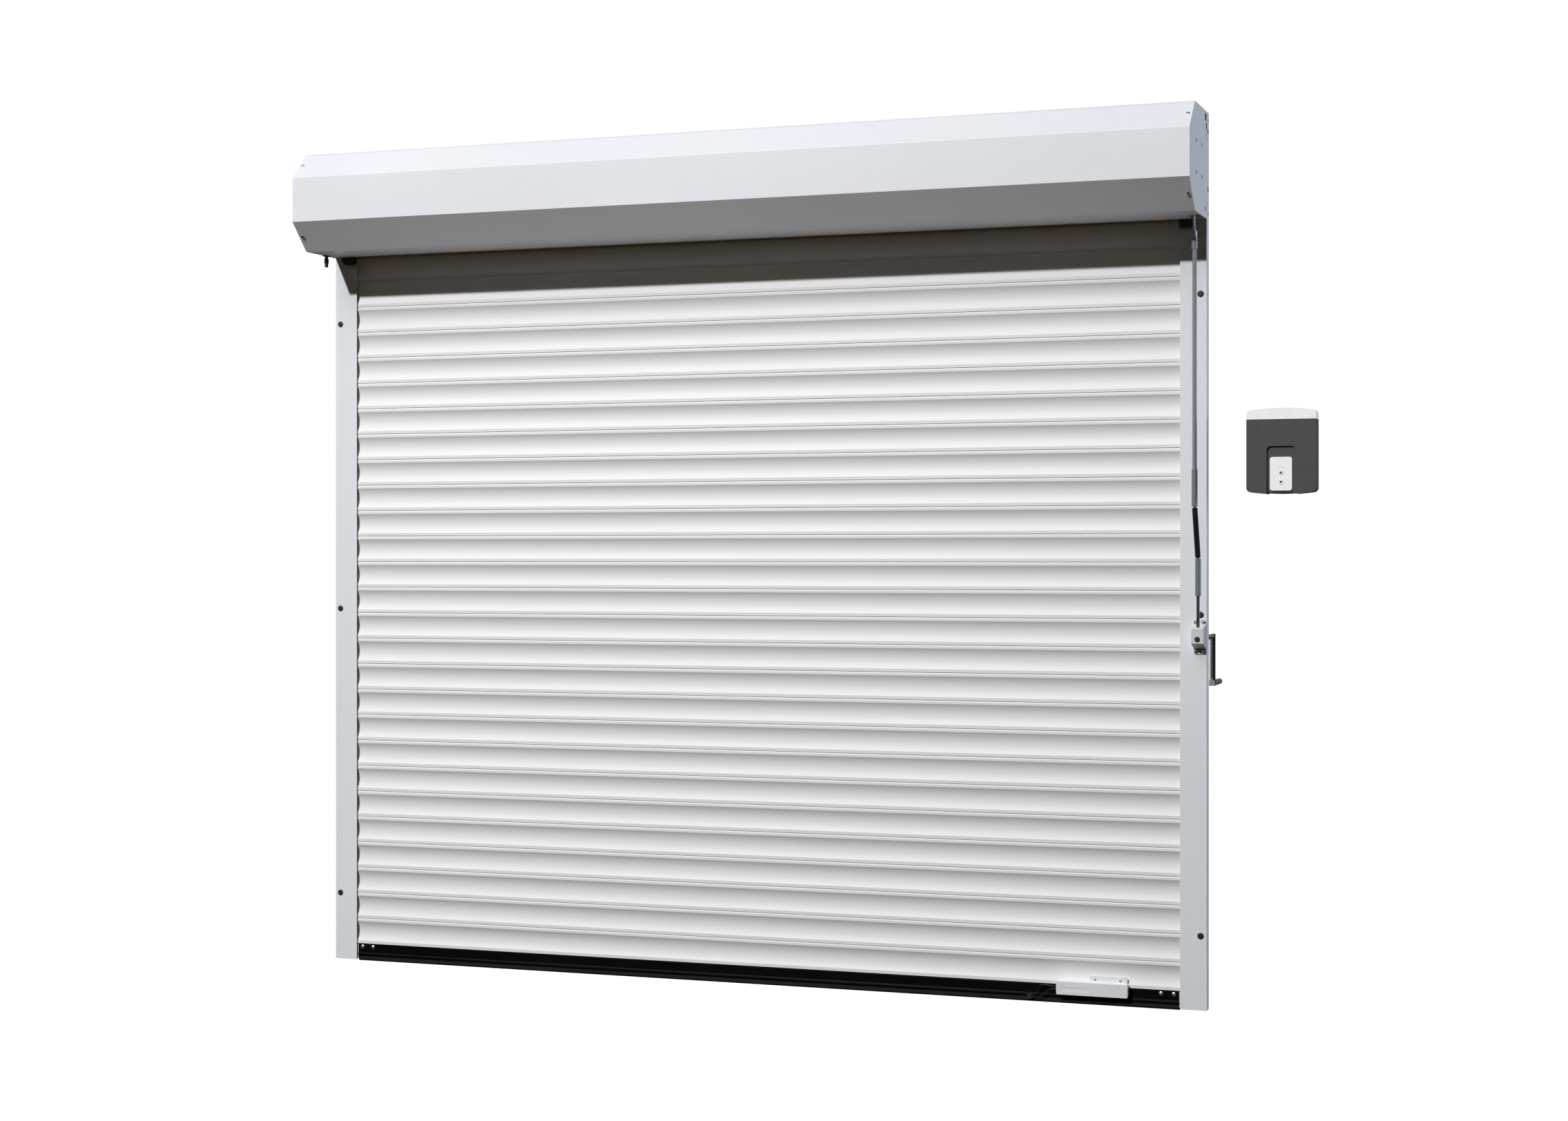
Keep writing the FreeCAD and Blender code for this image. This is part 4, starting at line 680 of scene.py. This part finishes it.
def casing_sheets():
    low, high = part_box("casing_top_and_back")
    top = folded_sheet([(0, 2075), (0, 2352), (-199, 2352), (-202.6, 2348.4)], SHEET, BEND)
    stand_for(prism("casing_top_and_back_folded", [top], low.x, high.x), "casing_top_and_back")
    front = folded_sheet([(-203, 2348), (-276, 2275), (-276, 2149), (-200, 2073)], SHEET, BEND)
    stand_for(prism("casing_front_cover_folded", [front], low.x, high.x), "casing_front_cover")


CASING_EDGES = {
    "casing_floor_panel": 0.0003, "right_end_plate": 0.0005, "left_end_plate": 0.0005,
    "inlet_funnels": 0.0012, "toggle_seat": 0.0006, "release_toggle": 0.0006,
}

casing_sheets()
for node, radius in CASING_EDGES.items():
    softened(node, radius)


STRAP_CENTRES = (-1.0, -0.5, 0.0, 0.5, 1.0)
STRAP_HALF = 0.015
STRAP_THICK, STRAP_BEND = 1.2, 3


def suspension_straps():
    """Spring-steel straps from the barrel to the top slat; the real straps shorten as the curtain
    rises, but these keep one shape.
    """
    band = folded_sheet([(-127, 2265.4), (-119.6, 2265.4), (-89.4, 2235), (-18.5, 2083.4)],
                        STRAP_THICK, STRAP_BEND, side=-1)
    made = bmesh.new()
    for centre in STRAP_CENTRES:
        add_prism(made, [band], centre - STRAP_HALF, centre + STRAP_HALF,
                  lambda u, v, t: (t, u * MM, v * MM))
    piece = stand_for(piece_from_bmesh("suspension_straps_sprung", made), "suspension_straps",
                      body="frame")
    applied(piece)
    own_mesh(piece)


suspension_straps()

# ------------------------------------------------------------ crank, motor, sensor and control box
MACHINE_EDGES = {
    "crank_gearbox_housing": 0.0007, "crank_arm": 0.0009, "sensor_housing": 0.0014,
    "wire_clip": 0.0009, "control_base": 0.0008, "control_cover": 0.0016,
    "control_lamp_cap": 0.0008, "keypad_plate": 0.0005, "motor_head": 0.0012,
    "motor_bracket": 0.0006,
}
for node, radius in MACHINE_EDGES.items():
    softened(node, radius)


def button_mark(name, button, body, point_up):
    """Small black triangle inlaid in a button's face."""
    low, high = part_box(button)
    centre_x, centre_z = (low.x + high.x) / 2 / MM, (low.z + high.z) / 2 / MM
    tip, half, corner = (3.7 if point_up else -3.7), 4.1, 0.3
    foot = centre_z - tip * 0.8
    triangle = outline((centre_x, centre_z + tip, corner), (centre_x - half, foot, corner),
                       (centre_x + half, foot, corner))
    mark = prism(name, [triangle], low.y - 0.00012, low.y + 0.0003, "y")
    stand_for(mark, body=body, slot="black_rubber")


button_mark("up_button_mark", "up_button", "up_key", True)
button_mark("down_button_mark", "down_button", "down_key", False)


LAMP_XS = (1.4805, 1.4906)
LAMP_Z = 1.4195
LAMP_RADIUS = 0.0017


def keypad_lamps():
    """Two frosted windows, nearly flush with the keypad plate's face."""
    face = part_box("keypad_plate")[0].y - 0.0001
    made = bmesh.new()
    for x in LAMP_XS:
        add_cylinder(made, LAMP_RADIUS, (x, face, LAMP_Z), (0, 1, 0), 0.002)
    stand_for(piece_from_bmesh("keypad_lamps", made), body="frame", slot="white_plastic")


keypad_lamps()


def cover_lip():
    """Lip of the control box's cover behind its seam with the lamp cap."""
    low, high = [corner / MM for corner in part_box("control_cover")]
    wall, reach = 2.7, 3.2
    lip = outline((low.x + wall, high.z - reach, 1), (high.x - wall, high.z - reach, 1),
                  (high.x - wall, high.z + reach, 1), (low.x + wall, high.z + reach, 1))
    front = (low.y + wall) * MM
    stand_for(prism("control_cover_lip", [lip], front, front + 0.001, "y"), body="frame",
              slot="dark_plastic")


cover_lip()


ARM_FRONT = 150         # depth of the crank arm's flat front
KNURLED_HEIGHT = 0.0155     # of the block at the arm's lower end
HUB_HEIGHT = 0.0155         # of the arm's upper end, in front of the hub


def crank_arm_trim():
    """Half-round bar and knurls along the crank's arm, with a black edge strip that is painted shade
    for the bar's dark reflected side, and a detent ball painted white as a highlight.
    """
    low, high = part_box("crank_arm")
    centre = (low.x + high.x) / 2 / MM
    black_left, black_right, side_left = centre + 0.8, centre + 7.9, centre + 5.5
    strip = outline((black_left, ARM_FRONT - 0.6, 0.3), (black_right, ARM_FRONT - 0.6, 0.8),
                    (black_right, ARM_FRONT + 8.4, 0.5), (side_left, ARM_FRONT + 8.4, 0.3),
                    (side_left, ARM_FRONT + 2), (black_left, ARM_FRONT + 2))
    # Black strip along the arm's right edge: painted shade standing in for the dark reflected side of
    # the chrome bar.
    stand_for(prism("crank_arm_edge_strip", [strip], low.z, high.z, "z"), body="crank",
              slot="black_steel")
    left, right = centre - 7, centre + 0.6
    bar = outline((left, ARM_FRONT + 1), (left, ARM_FRONT - 0.5),
                  ("arc", (left + right) / 2, ARM_FRONT - 3.4), (right, ARM_FRONT - 0.5),
                  (right, ARM_FRONT + 1))
    stand_for(prism("crank_arm_half_round", [bar], low.z + KNURLED_HEIGHT + 0.002,
                    high.z - HUB_HEIGHT, "z"), body="crank", slot="aluminium_can")
    knurled_end(left + 0.1, low.z)
    # Detent ball in white plastic: a real ball whose white colour is a painted highlight for its
    # glint.
    ball = bmesh.new()
    ball_place = ((centre + 0.4) * MM, ARM_FRONT * MM - 0.0012, low.z + KNURLED_HEIGHT + 0.0035)
    bmesh.ops.create_uvsphere(ball, u_segments=24, v_segments=14, radius=0.0022,
                              matrix=Matrix.Translation(ball_place))
    stand_for(piece_from_bmesh("crank_arm_detent_ball", ball), body="crank", slot="white_plastic")


def knurled_end(left, foot):
    """Upright ridges on the front of the block at the arm's lower end."""
    ridges, pitch, half = 5, 2.3, 0.6
    knurls = bmesh.new()
    for index in range(ridges):
        x = left + pitch * index
        ridge = outline((x - half, ARM_FRONT - 2.8), ("arc", x, ARM_FRONT - 3.9),
                        (x + half, ARM_FRONT - 2.8), steps=6)
        add_prism(knurls, [ridge], foot + 0.0008, foot + KNURLED_HEIGHT - 0.0007,
                  lambda u, v, t: (u * MM, v * MM, t))
    stand_for(piece_from_bmesh("crank_arm_knurls", knurls), body="crank", slot="aluminium_can")


crank_arm_trim()


# ------------------------------------------------------------ light, floor and backdrop
LIGHT_TARGET = Vector((0, 0, 1.2))


def area_light(name, azimuth, elevation, distance, size, power, colour):
    """Round soft light; azimuth 0 shines along +Y, and a positive one stands to the right."""
    turn, rise = math.radians(azimuth), math.radians(elevation)
    back = Vector((math.sin(turn) * math.cos(rise), -math.cos(turn) * math.cos(rise),
                   math.sin(rise)))
    data = bpy.data.lights.new(name, "AREA")
    data.shape = "DISK"
    data.size = size
    data.energy = power
    data.color = colour
    light = bpy.data.objects.new(name, data)
    light.location = LIGHT_TARGET + back * distance
    light.rotation_euler = (-back).to_track_quat("-Z", "Y").to_euler()
    scene.collection.objects.link(light)


def studio():
    """Near key light, soft fills, and a world that looks white but hardly lights the object."""
    area_light("key", -20.9, 33.6, 15.4, 0.6, 1760, (1.0, 0.99, 0.985))
    area_light("overhead", -12, 52, 9, 6, 255, (0.93, 0.97, 1.0))
    area_light("side_fill", 101, 10, 7, 2.5, 185, (0.78, 0.87, 1.0))
    area_light("back_fill", 195, 25, 9, 4, 380, (1.0, 0.98, 0.95))
    world = bpy.data.worlds.new("studio")
    scene.world = world
    world.use_nodes = True
    nodes, links = world.node_tree.nodes, world.node_tree.links
    seen = nodes["Background"]
    seen.inputs["Color"].default_value = (1, 1, 1, 1)
    lit = nodes.new("ShaderNodeBackground")
    lit.inputs["Color"].default_value = (0.93, 0.97, 1, 1)
    lit.inputs["Strength"].default_value = 0.004
    mirrored = nodes.new("ShaderNodeBackground")
    mirrored.inputs["Color"].default_value = (0.95, 0.98, 1, 1)
    mirrored.inputs["Strength"].default_value = 0.14
    path = nodes.new("ShaderNodeLightPath")
    gloss, view = nodes.new("ShaderNodeMixShader"), nodes.new("ShaderNodeMixShader")
    links.new(path.outputs["Is Glossy Ray"], gloss.inputs["Fac"])
    links.new(lit.outputs["Background"], gloss.inputs[1])
    links.new(mirrored.outputs["Background"], gloss.inputs[2])
    links.new(path.outputs["Is Camera Ray"], view.inputs["Fac"])
    links.new(gloss.outputs["Shader"], view.inputs[1])
    links.new(seen.outputs["Background"], view.inputs[2])
    links.new(view.outputs["Shader"], nodes["World Output"].inputs["Surface"])


FLOOR_DROP = 0.0005     # below the seal, so that the two never share a plane
FLOOR_HALF = 40


def pale_floor():
    """Floor that looks as white as the backdrop and throws a little warm light back."""
    made = bmesh.new()
    bmesh.ops.create_grid(made, x_segments=1, y_segments=1, size=FLOOR_HALF)
    mesh = bpy.data.meshes.new("floor")
    made.to_mesh(mesh)
    made.free()
    floor = bpy.data.objects.new("floor", mesh)
    floor.location.z = -FLOOR_DROP
    scene.collection.objects.link(floor)
    material = bpy.data.materials.new("floor")
    material.use_nodes = True
    nodes, links = material.node_tree.nodes, material.node_tree.links
    nodes.remove(nodes["Principled BSDF"])
    bounce, shade = nodes.new("ShaderNodeBsdfDiffuse"), nodes.new("ShaderNodeBsdfDiffuse")
    bounce.inputs["Color"].default_value = (0.034, 0.021, 0.007, 1)
    shade.inputs["Color"].default_value = (0.12, 0.12, 0.12, 1)
    glow = nodes.new("ShaderNodeEmission")
    glow.inputs["Strength"].default_value = 1.0
    seen, chosen = nodes.new("ShaderNodeAddShader"), nodes.new("ShaderNodeMixShader")
    path = nodes.new("ShaderNodeLightPath")
    links.new(shade.outputs["BSDF"], seen.inputs[0])
    links.new(glow.outputs["Emission"], seen.inputs[1])
    links.new(path.outputs["Is Camera Ray"], chosen.inputs["Fac"])
    links.new(bounce.outputs["BSDF"], chosen.inputs[1])
    links.new(seen.outputs["Shader"], chosen.inputs[2])
    links.new(chosen.outputs["Shader"], nodes["Material Output"].inputs["Surface"])
    mesh.materials.append(material)


def unshadowed_drive():
    """Keep the slim pieces before the guide rails from drawing hard shadows on them."""
    for node in ("crank_rod", "upper_sleeve", "crank_link", "lower_sleeve", "lower_drive_shaft"):
        NODES[node].visible_shadow = False
    for name in ("release_toggle_shell", "toggle_seat_shell"):
        bpy.data.objects[name].visible_shadow = False


studio()
pale_floor()
unshadowed_drive()
scene.view_settings.view_transform = "Standard"
